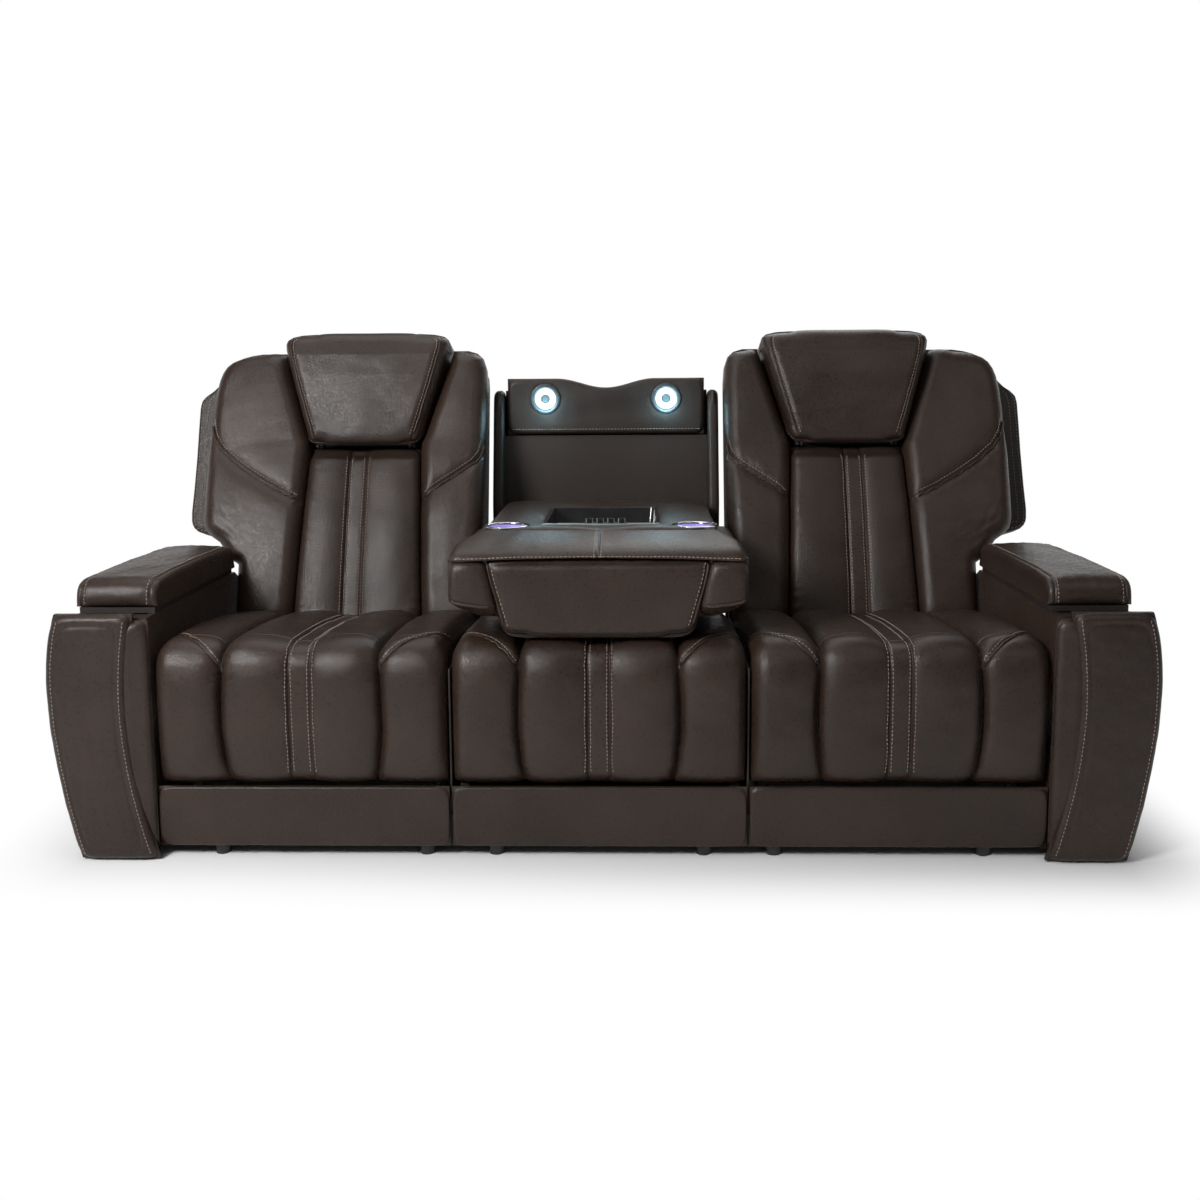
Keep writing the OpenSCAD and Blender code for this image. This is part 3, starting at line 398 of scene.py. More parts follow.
def piece(name, points, faces, material, body, nodes=()):
    points = np.array(points, float)
    quads = points[np.array([face for face in faces if len(face) == 4])]
    volume = sum(np.einsum("ij,ij->", quads[:, 0], np.cross(quads[:, m], quads[:, m + 1]))
                 for m in (1, 2))
    for face in faces:
        if len(face) != 4:
            flat = points[face]
            volume += np.cross(flat[1:-1], flat[2:]).sum(0) @ flat[0]
    if volume < 0:
        faces = [face[::-1] for face in faces]
    mesh = bpy.data.meshes.new(name)
    mesh.from_pydata([tuple(p) for p in points], [], faces)
    mesh.materials.append(material)
    for face in mesh.polygons:
        face.use_smooth = face.loop_total == 4
    made = bpy.data.objects.new(name, mesh)
    bpy.context.scene.collection.objects.link(made)
    belongs(made, body, nodes)
    return made


def xyz(*axes):
    return np.stack(np.broadcast_arrays(*axes), -1)


def ramp(distance, width):
    return np.clip(distance / width, 0, 1)


def wrinkle(a, b, size, seed):
    rng = np.random.default_rng(seed)
    total = np.zeros(np.broadcast(a, b).shape)
    for k in range(7):
        turn, phase, scale = rng.uniform(0, math.tau), rng.uniform(0, math.tau), rng.uniform(0.7, 1.5)
        total += np.sin(math.tau * scale * (a * math.cos(turn) + b * math.sin(turn)) / size + phase)
    return total / 3.5


def fall(distance, width):
    return np.exp(-np.abs(distance) / width)


def rolled(distance, radius):
    return radius * (1 - np.sqrt(1 - (1 - ramp(distance, radius)) ** 2))


covers, sewn, piped = {}, {}, {}


def on_cover(host, line, step):
    line = np.array(line, float)
    run = np.concatenate([[0], np.cumsum(np.linalg.norm(np.diff(line, axis=0), axis=1))])
    at = np.linspace(0, run[-1], max(3, int(run[-1] / step) + 1))
    line = np.stack([np.interp(at, run, line[:, k]) for k in range(3)], 1)
    if host.name not in covers:
        covers[host.name] = BVHTree.FromPolygons(
            [v.co for v in host.data.vertices], [p.vertices for p in host.data.polygons])
    found = [covers[host.name].find_nearest(Vector(p)) for p in line]
    return np.array([f[0] for f in found]), np.array([f[1] for f in found])


def directions(spots, normals):
    along = np.gradient(spots, axis=0)
    along /= np.linalg.norm(along, axis=1)[:, None] + 1e-12
    across = np.cross(normals, along)
    return along, across / (np.linalg.norm(across, axis=1)[:, None] + 1e-12)


def smoothed(line, passes):
    for _ in range(passes):
        line[1:-1] = (line[:-2] + 2 * line[1:-1] + line[2:]) / 4
    return line


def stitch(host, line, pitch=0.0084, length=0.0056, radius=0.001):
    spots, normals = on_cover(host, line, pitch)
    turn = np.arange(6)[:, None] * math.tau / 6
    for spot, a, c, n in zip(spots, *directions(spots, normals), normals):
        circle = radius * (np.cos(turn) * c + np.sin(turn) * n)
        ring = [spot + a * length * s + n * radius * 0.35 + r * circle
                for s, r in ((-0.5, 0.3), (-0.3, 1.0), (0.3, 1.0), (0.5, 0.3))]
        sewn.setdefault(host["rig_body"], []).append(np.concatenate(ring))


def pipe(host, line, radius=0.0032, lift=0.4):
    spots, normals = on_cover(host, line, 0.006)
    spots = smoothed(spots, 2)
    along, across = directions(spots, normals)
    turn = np.arange(10)[:, None] * math.tau / 10
    size = np.ones(len(spots)) * radius
    size[[0, -1]] = radius * 0.3
    rings = [spot + o * radius * lift + s * (np.cos(turn) * c + np.sin(turn) * o)
             for spot, c, o, s in zip(spots, across, np.cross(along, across), size)]
    piped.setdefault(host["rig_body"], []).append(np.array(rings))


strip, bolster, seat_half = 0.023, 0.161, 0.3
seat_front, pad_back = -0.3886, -0.3896
gusset_side = [0.161, 0.186, 0.227, 0.284, 0.3]
gusset_slant = [-0.045, -0.013, 0.032, 0.096, 0.112]


def seat_top(y):
    s = (0.092 - y) / 0.548
    return 0.405 + 0.042 * s + 0.009 * np.sin(math.pi * s)


def seat_draw(u, y, z, seed):
    q, side = y + z, np.abs(u)
    gusset = np.interp(side, gusset_side, gusset_slant)
    gather = np.clip(0.55 + 0.8 * wrinkle(q, 0, 0.17, seed + 4), 0.1, 1.6)
    return (-0.014 * crest((side - strip) / 0.138) - 0.013 * crest((side - bolster) / 0.15)
            + 0.02 * fall(side - bolster, 0.0085) + 0.005 * fall(side - strip, 0.0035)
            + 0.002 * (side < strip) + np.where(side > 0.163, 0.0095 * fall(q - gusset, 0.0065), 0)
            + rolled(seat_half - side, 0.034)
            + 0.0011 * wrinkle(q, u, 0.16, seed) + 0.0004 * wrinkle(q, u, 0.055, seed + 1)
            + 0.0015 * gather * wrinkle(q, side * 0.3, 0.019, seed + 2) * fall(side - bolster, 0.015)
            + 0.0006 * gather * wrinkle(q, side * 0.25, 0.017, seed + 3) * fall(side - strip, 0.01))


def seat_piece(name, corners, middle, seed, body, node):
    ring = outline(corners, 0.0045)
    y, z, out_y, out_z = ring[:, 0], ring[:, 1], ring[:, 3], ring[:, 4]
    u = places(-seat_half, seat_half, 0.006, (-bolster, -strip, strip, bolster))
    draw = seat_draw(u[:, None], y, z, seed)
    side = np.abs(u)[:, None]
    lean = np.interp(z, [0.15, 0.2, 0.27, 0.34, 0.41, 0.445], [-0.01, -0.002, 0.005, 0.004, 0.0, 0.0])
    lean = lean * np.clip(np.minimum((side - strip) / 0.138, (seat_half - side) / 0.139), 0, 1)
    x = u[:, None] + np.sign(u)[:, None] * lean * (y < -0.4) + middle
    points = xyz(x, y + draw * out_y, z + draw * out_z)
    made = piece(name, points.reshape(-1, 3), rows_to_faces(len(u), len(ring)), hide, body,
                 [node])
    split = (np.abs(y - (seat_front + pad_back) / 2) < 0.0012) & (z < 0.4425)
    slant = np.where((np.hypot(out_y, out_z) > 0.5) & ~split, y + z, 9.0)
    for way in (-1, 1):
        for past, sew in ((0.0, False), (0.012, True)):
            line = []
            for side in np.linspace(0.168, 0.293, 26):
                at = float(np.interp(side, gusset_side, gusset_slant)) + past
                k = int(np.argmin(np.abs(slant - at)))
                if abs(slant[k] - at) < 0.004:
                    line.append(points[int(np.argmin(np.abs(u - way * side))), k])
            if len(line) > 3:
                line = smoothed(np.array(line), 6)
                stitch(made, line) if sew else pipe(made, line, 0.0031, 0.9)
    return made


def down_front(x):
    return [(x, y, z) for y, z in (
        (-0.394, 0.444), (-0.43, 0.438), (-0.452, 0.408), (-0.459, 0.36), (-0.461, 0.28), (-0.455, 0.185))]


brown = [0.028, 0.0166, 0.0117]
hide = leather("brown_leather", brown)
pad_face = [(-0.416, 0.4425, 0.012, 0, -1), (-0.437, 0.433, 0.012, 0.25, -0.9),
            (-0.451, 0.41, 0.014, 0.7, -0.6), (-0.457, 0.378, 0.02, 1, -0.15),
            (-0.46, 0.3, 0.05, 1, 0), (-0.4575, 0.215, 0.03, 1, 0),
            (-0.45, 0.174, 0.012, 0.7, 0.1), (-0.432, 0.153, 0.012, 0.1, 0.2)]
seat_face = [(0.0915, 0.3055, 0.004, 0, 0), (0.0915, 0.404, 0.012, 0, -0.8)] + [
    (y, float(seat_top(y)), 0.03, 0, -1) for y in (0.0, -0.1, -0.2, -0.3)]
strip_lines = [way * off for way in (-1, 1) for off in (0.0285, 0.0175)]
for (side, way), seed in zip(sides, (11, 31)):
    cushion = seat_piece("seat_cover_" + side, [
        *seat_face, (seat_front, 0.444, 0.0015, 0, -1), (seat_front, 0.395, 0.006, 0, 0),
        (-0.3745, 0.375, 0.006, 0, 0), (-0.3745, 0.3055, 0.004, 0, 0)],
        way * seat_pitch, seed, "root", "seat_cushion_" + side)
    pad = seat_piece("footrest_cover_" + side, [
        (-0.39, 0.1535, 0.004, 0, 0), (-0.39, 0.395, 0.004, 0, 0), (pad_back, 0.444, 0.0015, 0, -1),
        *pad_face], way * seat_pitch, seed, "footrest_" + side, "footrest_pad_" + side)
    for off in strip_lines:
        x = way * seat_pitch + off
        stitch(cushion, [(x, y, float(seat_top(y))) for y in np.linspace(0.05, -0.378, 30)])
        stitch(pad, down_front(x))
middle_cover = seat_piece("seat_cover_middle", [
    (-0.39, 0.1535, 0.004, 0, 0), (-0.39, 0.3055, 0.004, 0, 0), *seat_face,
    (-0.38, 0.444, 0.02, 0, -1), *pad_face], 0.0, 51, "root", "seat_middle_cushion")
for off in strip_lines:
    stitch(middle_cover, [(off, -0.2, 0.44)] + down_front(off))


# Lower front panels: boards wrapped in leather under each seat, on the front rail.
# Thin wadding under the leather rounds their edges.
def gap(u, v, line):
    spots = np.stack([u.ravel(), v.ravel()], 1)
    best = np.full(len(spots), 9.0)
    for a, b in zip(line[:-1], line[1:]):
        d = b - a
        t = np.clip(((spots - a) @ d) / max(d @ d, 1e-12), 0, 1)
        best = np.minimum(best, np.hypot(*(spots - a - t[:, None] * d).T))
    return best.reshape(u.shape)


def eased(count):
    return 0.5 - 0.5 * np.cos(np.linspace(0, math.pi, count + 1))


def soft_face(at, roll, crown=0.0, spread=0.03, creases=(), more=None):
    def front(u, v, edge):
        w = at - crown * (1 - fall(edge, spread)) + rolled(edge, roll)
        for depth, size, seed in creases:
            w = w + depth * wrinkle(u, v, size, seed)
        return w + more(u, v, edge) if more else w
    return front


def slab(rows, columns, left, right, front, back, edge_back, coarse=3):
    left, right = left + 0 * rows, right + 0 * rows
    u = left[:, None] + (right - left)[:, None] * columns[None, :]
    v = rows[:, None] + 0 * u
    ends = [gap(u, v, np.stack([left, rows], 1)), gap(u, v, np.stack([right, rows], 1)),
            v - rows[0], rows[-1] - v]
    edge = np.maximum(-0.01 * np.log(sum(np.exp(-d / 0.01) for d in ends)), 0)
    behind = (back(u, v) if callable(back) else back) - rolled(edge, edge_back)
    before = np.minimum(front(u, v, edge), behind - 0.001)
    keep = np.unique(np.r_[np.arange(0, len(columns), coarse), len(columns) - 1])[::-1]
    return np.concatenate([xyz(u, before, v), xyz(u, behind, v)[:, keep]], 1)


def slab_piece(name, rings, put, material, body, nodes=(), holes=None):
    made = piece(name, put(*np.moveaxis(rings, -1, 0)).reshape(-1, 3), rows_to_faces(*rings.shape[:2]),
                 material, body, nodes)
    if holes is not None:
        mask = made.data.attributes.new("holes", "FLOAT", "POINT")
        mask.data.foreach_set("value", holes(rings[..., 0], rings[..., 2]).ravel().astype(np.float32))
        flat = rings[..., [0, 2]].reshape(-1, 2)
        corner = np.zeros(len(made.data.loops), np.int32)
        made.data.loops.foreach_get("vertex_index", corner)
        layer = made.data.uv_layers.new(name="metres")
        layer.data.foreach_set("uv", flat[corner].ravel().astype(np.float32))
    return made


def facing(way=1, middle=0.0):
    return lambda u, w, v: xyz(middle + way * u, w, v)


for name, middle in (("left", -seat_pitch), ("middle", 0.0), ("right", seat_pitch)):
    slab_piece("kick_cover_" + name, slab(
        0.024 + 0.1268 * eased(40), eased(80), -0.302, 0.302,
        soft_face(-0.456, 0.005, 0.0015, 0.03, [(0.0005, 0.12, 141)]), -0.4441, 0.002),
        facing(1, middle), hide, "root", ["kick_panels"] if name == "middle" else ())


# Arms: a bent front panel in two strips, a padded outer side, and a soft lid over the bin
# whose seams run along both long edges and down its front, on a hinge of plated pins.
def bow(a, c, b):
    t = np.linspace(0, 1, 40)[:, None]
    return np.array(a) * (1 - t) ** 2 + 2 * np.array(c) * t * (1 - t) + np.array(b) * t * t


hide_rear = leather("rear_leather", [0.0262, 0.0186, 0.0154], 0.42)
dress(hide, "arm_box_")
# Lid boards: the darker leather as painted shade in the gap under the lid pads.
dress(gap_shade_leather, "lid_board_")
dress(zinc, "lid_hinges")
outer_bow = bow((1.069, 0.004), (1.155, 0.345), (1.097, 0.517))
inner_bow = bow((0.905, 0.004), (0.991, 0.28), (0.937, 0.517))
rear_y, rear_z = [0.411, 0.411, 0.325, 0.123], [0.03, 0.286, 0.391, 0.496]
lid_in, lid_out, seam_in, seam_out = 0.9105, 1.0795, 0.924, 1.066
for side, way in sides:
    rows = 0.004 + 0.512 * eased(90)
    left = np.interp(rows, inner_bow[:, 1], inner_bow[:, 0])
    right = np.interp(rows, outer_bow[:, 1], outer_bow[:, 0])
    front = slab_piece("arm_front_cover_" + side, slab(
        rows, eased(70), left, right,
        soft_face(-0.485, 0.013, 0.006, 0.03, [(0.001, 0.11, 111), (0.0005, 0.04, 112)],
                  lambda u, v, edge: 0.0022 * fall(edge - 0.021, 0.003)), -0.4577, 0.004),
        facing(way), hide, "root", ["arm_front_" + side])
    z = np.linspace(0.02, 0.5, 50)
    for line in (np.interp(z, rows, left) + 0.011, np.interp(z, rows, right) - 0.014):
        stitch(front, xyz(way * line, -0.488, z))
    rows = 0.01 + 0.492 * eased(60)
    slab_piece("arm_gusset_" + side, slab(
        rows, eased(30), 0.9115, np.interp(rows, inner_bow[:, 1], inner_bow[:, 0]) + 0.014,
        soft_face(-0.48, 0.013, creases=[(0.0006, 0.05, 115)],
                  more=lambda u, v, edge: -0.22 * np.minimum(u - 0.95, 0)), -0.4577, 0.002),
        facing(way), hide, "root", ())
    rows = 0.03 + 0.466 * eased(60)
    slab_piece("arm_side_cover_" + side, slab(
        rows, eased(60), -0.447, np.interp(rows, rear_z, rear_y),
        soft_face(0.0, 0.008, 0.0025, 0.05, [(0.0007, 0.15, 121)]), 0.0135, 0.002),
        lambda u, w, v: xyz(way * (1.0915 - w), u, v), hide_rear, "root",
        ["arm_skin_" + side])
    ring = outline([
        (0.114, 0.5183, 0.004, 0, 0), (0.1145, 0.54, 0.02, -0.6, 0), (0.112, 0.564, 0.014, -0.6, -0.7),
        (0.096, 0.573, 0.02, 0, -1), (-0.1, 0.5765, 0.06, 0, -1), (-0.28, 0.5765, 0.06, 0, -1),
        (-0.385, 0.573, 0.02, 0.2, -1), (-0.402, 0.561, 0.014, 0.7, -0.7), (-0.4095, 0.544, 0.014, 1, -0.1),
        (-0.4095, 0.525, 0.008, 0.8, 0), (-0.404, 0.5183, 0.005, 0, 0)], 0.004)
    x = places(lid_in, lid_out, 0.006, (seam_in, seam_out), 0.0011)
    a = x[:, None]
    along = ring[:, 0] - ring[:, 1]
    draw = (rolled(np.minimum(a - lid_in, lid_out - a), 0.013) - 0.0045 * crest((a - seam_in) / 0.142)
            + 0.0028 * fall(np.minimum(np.abs(a - seam_in), np.abs(a - seam_out)), 0.0028)
            + 0.0009 * wrinkle(along, a, 0.12, 131) + 0.0004 * wrinkle(along, a, 0.03, 132))
    points = xyz(way * a, ring[:, 0] + draw * ring[:, 3], ring[:, 1] + draw * ring[:, 4])
    lid = piece("arm_lid_cover_" + side, points.reshape(-1, 3), rows_to_faces(len(x), len(ring)),
                hide, "lid_" + side, ["lid_pad_" + side])
    for line in (seam_in + 0.006, seam_out - 0.006):
        stitch(lid, [(way * line, y, z) for y, z in (
            (0.1, 0.573), (0.0, 0.577), (-0.2, 0.578), (-0.385, 0.574), (-0.402, 0.562),
            (-0.411, 0.545), (-0.411, 0.527))])


# Backs: a centre panel with its strip and punched leather, two puffed side wings that a curved
# piped seam crosses, all sewn over foam on the back board, and the bordered shell behind them.
back_lean, hinge_y, hinge_z = math.radians(15), 0.15, 0.33


def on_back(way):
    c, s = math.cos(back_lean), math.sin(back_lean)
    return lambda u, w, v: xyz(way * (seat_pitch + u), hinge_y + w * c + v * s, hinge_z - w * s + v * c)


def foam_front(v):
    tucked = 0.016 * ramp(0.06 - v, 0.03) ** 2
    return tucked - 0.066 + 0.056 * (v - 0.045) / 0.455 - 0.012 * np.sin(math.pi * np.clip(v / 0.5, 0, 1))


strip_u = 0.014


def panel_front(u, v, edge):
    off, half = np.abs(u - strip_u), 0.159 - 0.042 * (v - 0.045)
    side = np.where(u > strip_u, half - strip_u, half + strip_u)
    return (foam_front(v) - 0.011 * crest((off - 0.022) / (side - 0.022)) + 0.002 * (off < 0.022)
            + 0.0125 * np.sin(math.pi / 2 * ramp(v - 0.448, 0.022)) ** 2
            + 0.0045 * fall(off - 0.022, 0.0035) + rolled(edge, 0.02)
            + 0.0009 * wrinkle(u, v, 0.17, 71) + 0.0003 * wrinkle(u, v, 0.06, 72)
            + 0.0012 * wrinkle(u * 0.3, v, 0.022, 73) * fall(edge - 0.014, 0.014))


def wing_front(seam, seed):
    def front(u, v, edge):
        cross = gap(u, v, seam)
        low = fall(np.hypot(u - 0.345, (v - 0.285) * 1.2), 0.045)
        return (foam_front(v) - 0.016 - 0.008 * (1 - fall(edge, 0.05)) * (1 - fall(cross, 0.03))
                + rolled(edge, 0.036) + 0.009 * fall(cross, 0.011) + 0.003 * fall(cross, 0.0022)
                + 0.0013 * wrinkle(u, v, 0.19, seed) + 0.0003 * wrinkle(u, v, 0.065, seed + 1)
                + 0.0009 * wrinkle(u, v, 0.026, seed + 2) * fall(cross - 0.008, 0.013)
                + 0.0019 * wrinkle(u - v, (u + v) * 0.3, 0.026, seed + 3) * low)
    return front


# The wing is thin where it lies in front of the arm box, to clear it as the back reclines.
def wing_back(u, v):
    return 0.07 - 0.068 * ramp(u - 0.2985, 0.004) * ramp(0.262 - v, 0.022)


hide_holes = leather("perforated_leather", brown, perforated=True)
# The back boards take the same near-black timber, painted shade where they show between the cushions.
dress(painted_shade_timber, "back_frame_")
outer_seam = np.array([(0.15, 0.341), (0.166, 0.348), (0.215, 0.372), (0.267, 0.403), (0.32, 0.439),
                       (0.363, 0.477), (0.384, 0.508), (0.402, 0.548)])
inner_seam = np.array([(0.142, 0.343), (0.16, 0.354), (0.187, 0.375), (0.238, 0.409), (0.284, 0.442),
                       (0.302, 0.465), (0.312, 0.49)])
inside_v = [0.045, 0.484, 0.5, 0.515, 0.74, 0.76]
inside_u = [0.1592, 0.1412, 0.142, 0.149, 0.215, 0.216]
outer_v = [0.045, 0.185, 0.195, 0.215, 0.24, 0.255, 0.27, 0.295, 0.37, 0.46, 0.53, 0.587, 0.633,
           0.668, 0.69, 0.708, 0.722, 0.734, 0.741, 0.745]
outer_u = [0.3, 0.303, 0.323, 0.336, 0.354, 0.376, 0.391, 0.398, 0.401, 0.403, 0.401, 0.399, 0.396,
           0.391, 0.384, 0.374, 0.359, 0.336, 0.312, 0.284]
inner_v = [0.045, 0.38, 0.56, 0.66, 0.7, 0.728, 0.743, 0.75]
inner_u = [0.3, 0.305, 0.306, 0.306, 0.303, 0.294, 0.278, 0.255]
shell_v = [0.045, 0.255, 0.268, 0.277, 0.288, 0.306, 0.335, 0.395, 0.478, 0.555, 0.612, 0.63, 0.643,
           0.655, 0.672, 0.7, 0.718, 0.731, 0.735]
shell_right = [0.294, 0.294, 0.38, 0.44, 0.459, 0.468, 0.469, 0.465, 0.461, 0.459, 0.457, 0.453, 0.442,
               0.424, 0.408, 0.39, 0.368, 0.345, 0.32]
shell_left = [-0.3] * 15 + [-0.298, -0.29, -0.275, -0.262]
shell_front, ear_front = 0.0893, 0.0698
for side, way in sides:
    put = on_back(way)
    rows = 0.031 + 0.4545 * eased(114)
    columns = (places(-1, 1, 0.04, (-0.054, 0.243), 0.0088) + 1) / 2
    half = np.interp(rows, [0.045, 0.484], [0.1588, 0.1404])
    panel = slab_piece("back_panel_" + side, slab(
        rows, columns, -half, half, panel_front, 0.07, 0.004),
        put, hide_holes, "back_" + side, ["back_cushion_" + side],
        lambda u, v: ramp(np.abs(u - strip_u) - 0.031, 0.002) * ramp(0.138 - np.abs(u), 0.002))
    for name, seam, edge_v, edge_u, flip, seed in (
            ("back_wing_outer_", outer_seam, outer_v, outer_u, 1, 81),
            ("back_wing_inner_", inner_seam, inner_v, inner_u, -1, 91)):
        rows = 0.031 + (edge_v[-1] - 0.031) * eased(154)
        rings = slab(rows, eased(62), np.interp(rows, inside_v, inside_u), np.interp(rows, edge_v, edge_u),
                     wing_front(seam, seed), wing_back, 0.012)
        rings[..., 0] *= flip
        wing = slab_piece(name + side, rings, put, hide, "back_" + side, ())
        line = put(flip * seam[:, 0], foam_front(seam[:, 1]) - 0.003, seam[:, 1])
        pipe(wing, line[1:], 0.003, 0.9)
        above = seam + [-0.006, 0.01]
        stitch(wing, put(flip * above[:, 0], foam_front(above[:, 1]) - 0.016, above[:, 1])[1:])
    v = np.linspace(0.06, 0.464, 40)
    for off in (-0.0275, -0.0165, 0.0165, 0.0275):
        stitch(panel, put(strip_u + off, foam_front(v) - 0.004, v))
    rows = 0.045 + 0.69 * eased(110)
    shell = slab_piece("back_shell_cover_" + side, slab(
        rows, eased(70), np.interp(rows, shell_v, shell_left), np.interp(rows, shell_v, shell_right),
        lambda u, v, edge: shell_front - 0.0195 * ramp(u - 0.335, 0.015) + rolled(edge, 0.01)
        + 0.001 * fall(edge - 0.02, 0.0025),
        lambda u, v: 0.158 - 0.003 * fall(np.abs(u - 0.02) - 0.17, 0.0035), 0.016, 1),
        put, hide_rear, "back_" + side, ["back_shell_" + side])
    for inset in (0.009, 0.024):
        v = np.linspace(0.3, 0.64, 40)
        stitch(shell, put(np.interp(v, shell_v, shell_right) - inset, ear_front, v))
        u = np.linspace(0.41, 0.452 - inset / 2, 8)
        low = np.interp(u, [0.38, 0.44, 0.459], [0.268, 0.277, 0.288]) + inset
        stitch(shell, put(u, ear_front, low))


# Headrest pillows: wedge-shaped pads that roll over the top of each back, piped down both
# sides, with rounded lower corners, on an enamelled plate that a geared motor tilts.
dress(enamel, "headrest_plate_")
dress(black, "headrest_motor_")
pillow_v = [0.49, 0.492, 0.4975, 0.5065, 0.524, 0.74, 0.755, 0.768, 0.778, 0.784, 0.786]
pillow_u = [0.108, 0.123, 0.135, 0.142, 0.148, 0.2085, 0.211, 0.208, 0.197, 0.172, 0.14]
pillow_piping = 0.017


def pillow_front(u, v, edge):
    base = np.interp(v, [0.488, 0.53, 0.572, 0.665, 0.72, 0.786],
                     [-0.04, -0.043, -0.046, -0.0485, -0.046, -0.03])
    half = np.interp(v, pillow_v, pillow_u)
    soft = np.interp(v, [0.488, 0.53], [0.014, 0.034])
    away = half - np.abs(u) - pillow_piping
    return (base - 0.006 * crest((u / np.maximum(half, 0.01) + 1) / 2, 0.6) + rolled(edge, soft)
            + 0.0009 * wrinkle(u, v, 0.17, 101) + 0.0003 * wrinkle(u, v, 0.06, 102)
            + 0.003 * fall(away, 0.0035) + 0.0008 * wrinkle(u * 0.3, v, 0.026, 103) * fall(away, 0.012))


for side, way in sides:
    put = on_back(way)
    rows = 0.49 + 0.296 * eased(120)
    half = np.interp(rows, pillow_v, pillow_u)
    pillow = slab_piece("headrest_cover_" + side, slab(
        rows, eased(90), -half, half, pillow_front, lambda u, v: np.interp(
            v, [0.49, 0.498, 0.512, 0.5135, 0.7385, 0.74], [-0.026, -0.016, -0.012, 0.066, 0.066, 0.15]),
        0.006, 2),
        put, hide, "headrest_" + side, ["headrest_pillow_" + side])
    v = np.linspace(0.515, 0.772, 40)
    for flip in (-1, 1):
        u = flip * (np.interp(v, pillow_v, pillow_u) - pillow_piping)
        pipe(pillow, put(u, -0.04, v), 0.0026)
        stitch(pillow, put(u - flip * 0.008, -0.044, v))


# Fixed rear of the middle place: leather-wrapped side frames and rear board, with the light
# bar across them, whose top edge dips in the middle.
dress(enamel, "table_brackets")
dress(hide_rear, "recess_panel")
rows = 0.028 + 0.911 * eased(90)
for side, way in sides:
    slab_piece("middle_side_cover_" + side, slab(
        rows, eased(24), np.interp(rows, [0.028, 0.645, 0.935, 0.939], [0.3422, 0.3422, 0.415, 0.419]),
        0.48, soft_face(0.2682, 0.009), 0.296, 0.009, 1),
        lambda u, w, v: xyz(way * w, u, v), hide_rear, "root",
        ["middle_back_frame"] if way < 0 else ())
slab_piece("middle_rear_cover", slab(
    0.028 + 0.911 * eased(60), eased(40), -0.2684, 0.2684, soft_face(0.4625, 0.004), 0.48, 0.004, 1),
    facing(), hide_rear, "root", ())
across = -0.259 + 0.518 * eased(110)
bar_top = 0.971 - 0.012 * (1 + np.cos(math.pi * np.clip(across / 0.13, -1, 1)))
bar = slab_piece("light_bar_cover", slab(
    across, eased(50), 0.825, bar_top, soft_face(0.415, 0.011, 0.0015, 0.03, [(0.0006, 0.1, 151)]),
    0.4618, 0.011, 1),
    lambda u, w, v: xyz(v, w, u), hide_rear, "root", ["light_bar"])
stitch(bar, [(x, 0.414, 0.838) for x in np.linspace(-0.245, 0.245, 30)])


# Reading lights: a frosted bezel, a lit ring sunk in it and a dark collar round the push
# button in the middle, all turned parts pressed into the bar.
def lit(name, colour, strength, cover):
    material, tree, place = blank(name)
    glow = limits(noise(place, 180.0, 3.0), 0.3, 0.7, strength * 0.85, strength * 1.1)
    surface(tree, Base_Color=cover + [1], Roughness=0.45, Emission_Color=colour, Emission_Strength=glow)
    return material


def turned(name, profile, centre, material, body, slot, nodes=(), tilt=0.0):
    bpy.ops.mesh.primitive_circle_add(vertices=len(profile), radius=0.01)
    bpy.ops.object.mode_set(mode="EDIT")
    mesh = bpy.context.object.data
    shape = bmesh.from_edit_mesh(mesh)
    for vert, (r, h) in zip(shape.verts, profile):
        vert.co = (r, 0, h)
    bmesh.update_edit_mesh(mesh)
    bpy.ops.mesh.select_all(action="SELECT")
    bpy.ops.mesh.spin(steps=64, angle=math.tau, center=(0, 0, 0), axis=(0, 0, 1))
    bpy.ops.mesh.select_all(action="SELECT")
    bpy.ops.mesh.remove_doubles(threshold=0.00001)
    bpy.ops.mesh.normals_make_consistent(inside=False)
    bpy.ops.object.mode_set(mode="OBJECT")
    bpy.context.object.location = centre
    bpy.context.object.rotation_euler = (tilt, 0, 0)
    return done(name, material, body, nodes)


grey = plastic("soft_grey", [0.075, 0.09, 0.095], 0.42)
frosted = plastic("frosted_bezel", [0.036, 0.045, 0.049], 0.36, 0.2)
ring_glow = lit("ring_glow", [0.8, 0.94, 1.0, 1], 1.6, [0.6, 0.66, 0.7])
dress(grey, "light_button_")
light_x, bar_front, light_z = 0.159, 0.4147, 0.918
for side, way in sides:
    for name, made_of, profile in (
            ("light_bezel_", frosted, [
                (0.0278, -0.001), (0.0278, 0.0015), (0.0286, 0.0042), (0.031, 0.0056), (0.0355, 0.006),
                (0.0383, 0.0054), (0.0397, 0.0038), (0.04, 0.001), (0.04, -0.001)]),
            ("light_collar_", grey, [
                (0.0084, -0.001), (0.0084, 0.0034), (0.0098, 0.0042), (0.0122, 0.0037), (0.0126, -0.001)]),
            ("light_ring_", ring_glow, [
                (0.0127, -0.001), (0.0127, 0.0024), (0.0137, 0.0034), (0.017, 0.004), (0.0235, 0.0038),
                (0.0266, 0.0028), (0.0277, 0.001), (0.0277, -0.001)])):
        turned(name + side, profile, (way * light_x, bar_front, light_z), made_of, "root", "light",
               ["reading_lights"] if name + side == "light_bezel_left" else (), math.pi / 2)
    glow = lamp("glow " + side, "POINT", 0.42, (way * light_x, 0.372, 0.896))
    glow.data.color, glow.data.shadow_soft_size = (0.46, 0.84, 1.0), 0.02


# Table: the middle back folded forward. Its leather top is soft beside the tray well and has
# a cup holder at each front corner; the wells are cut through the cover.
def top_face(face):
    return face.normal.z > 0.9


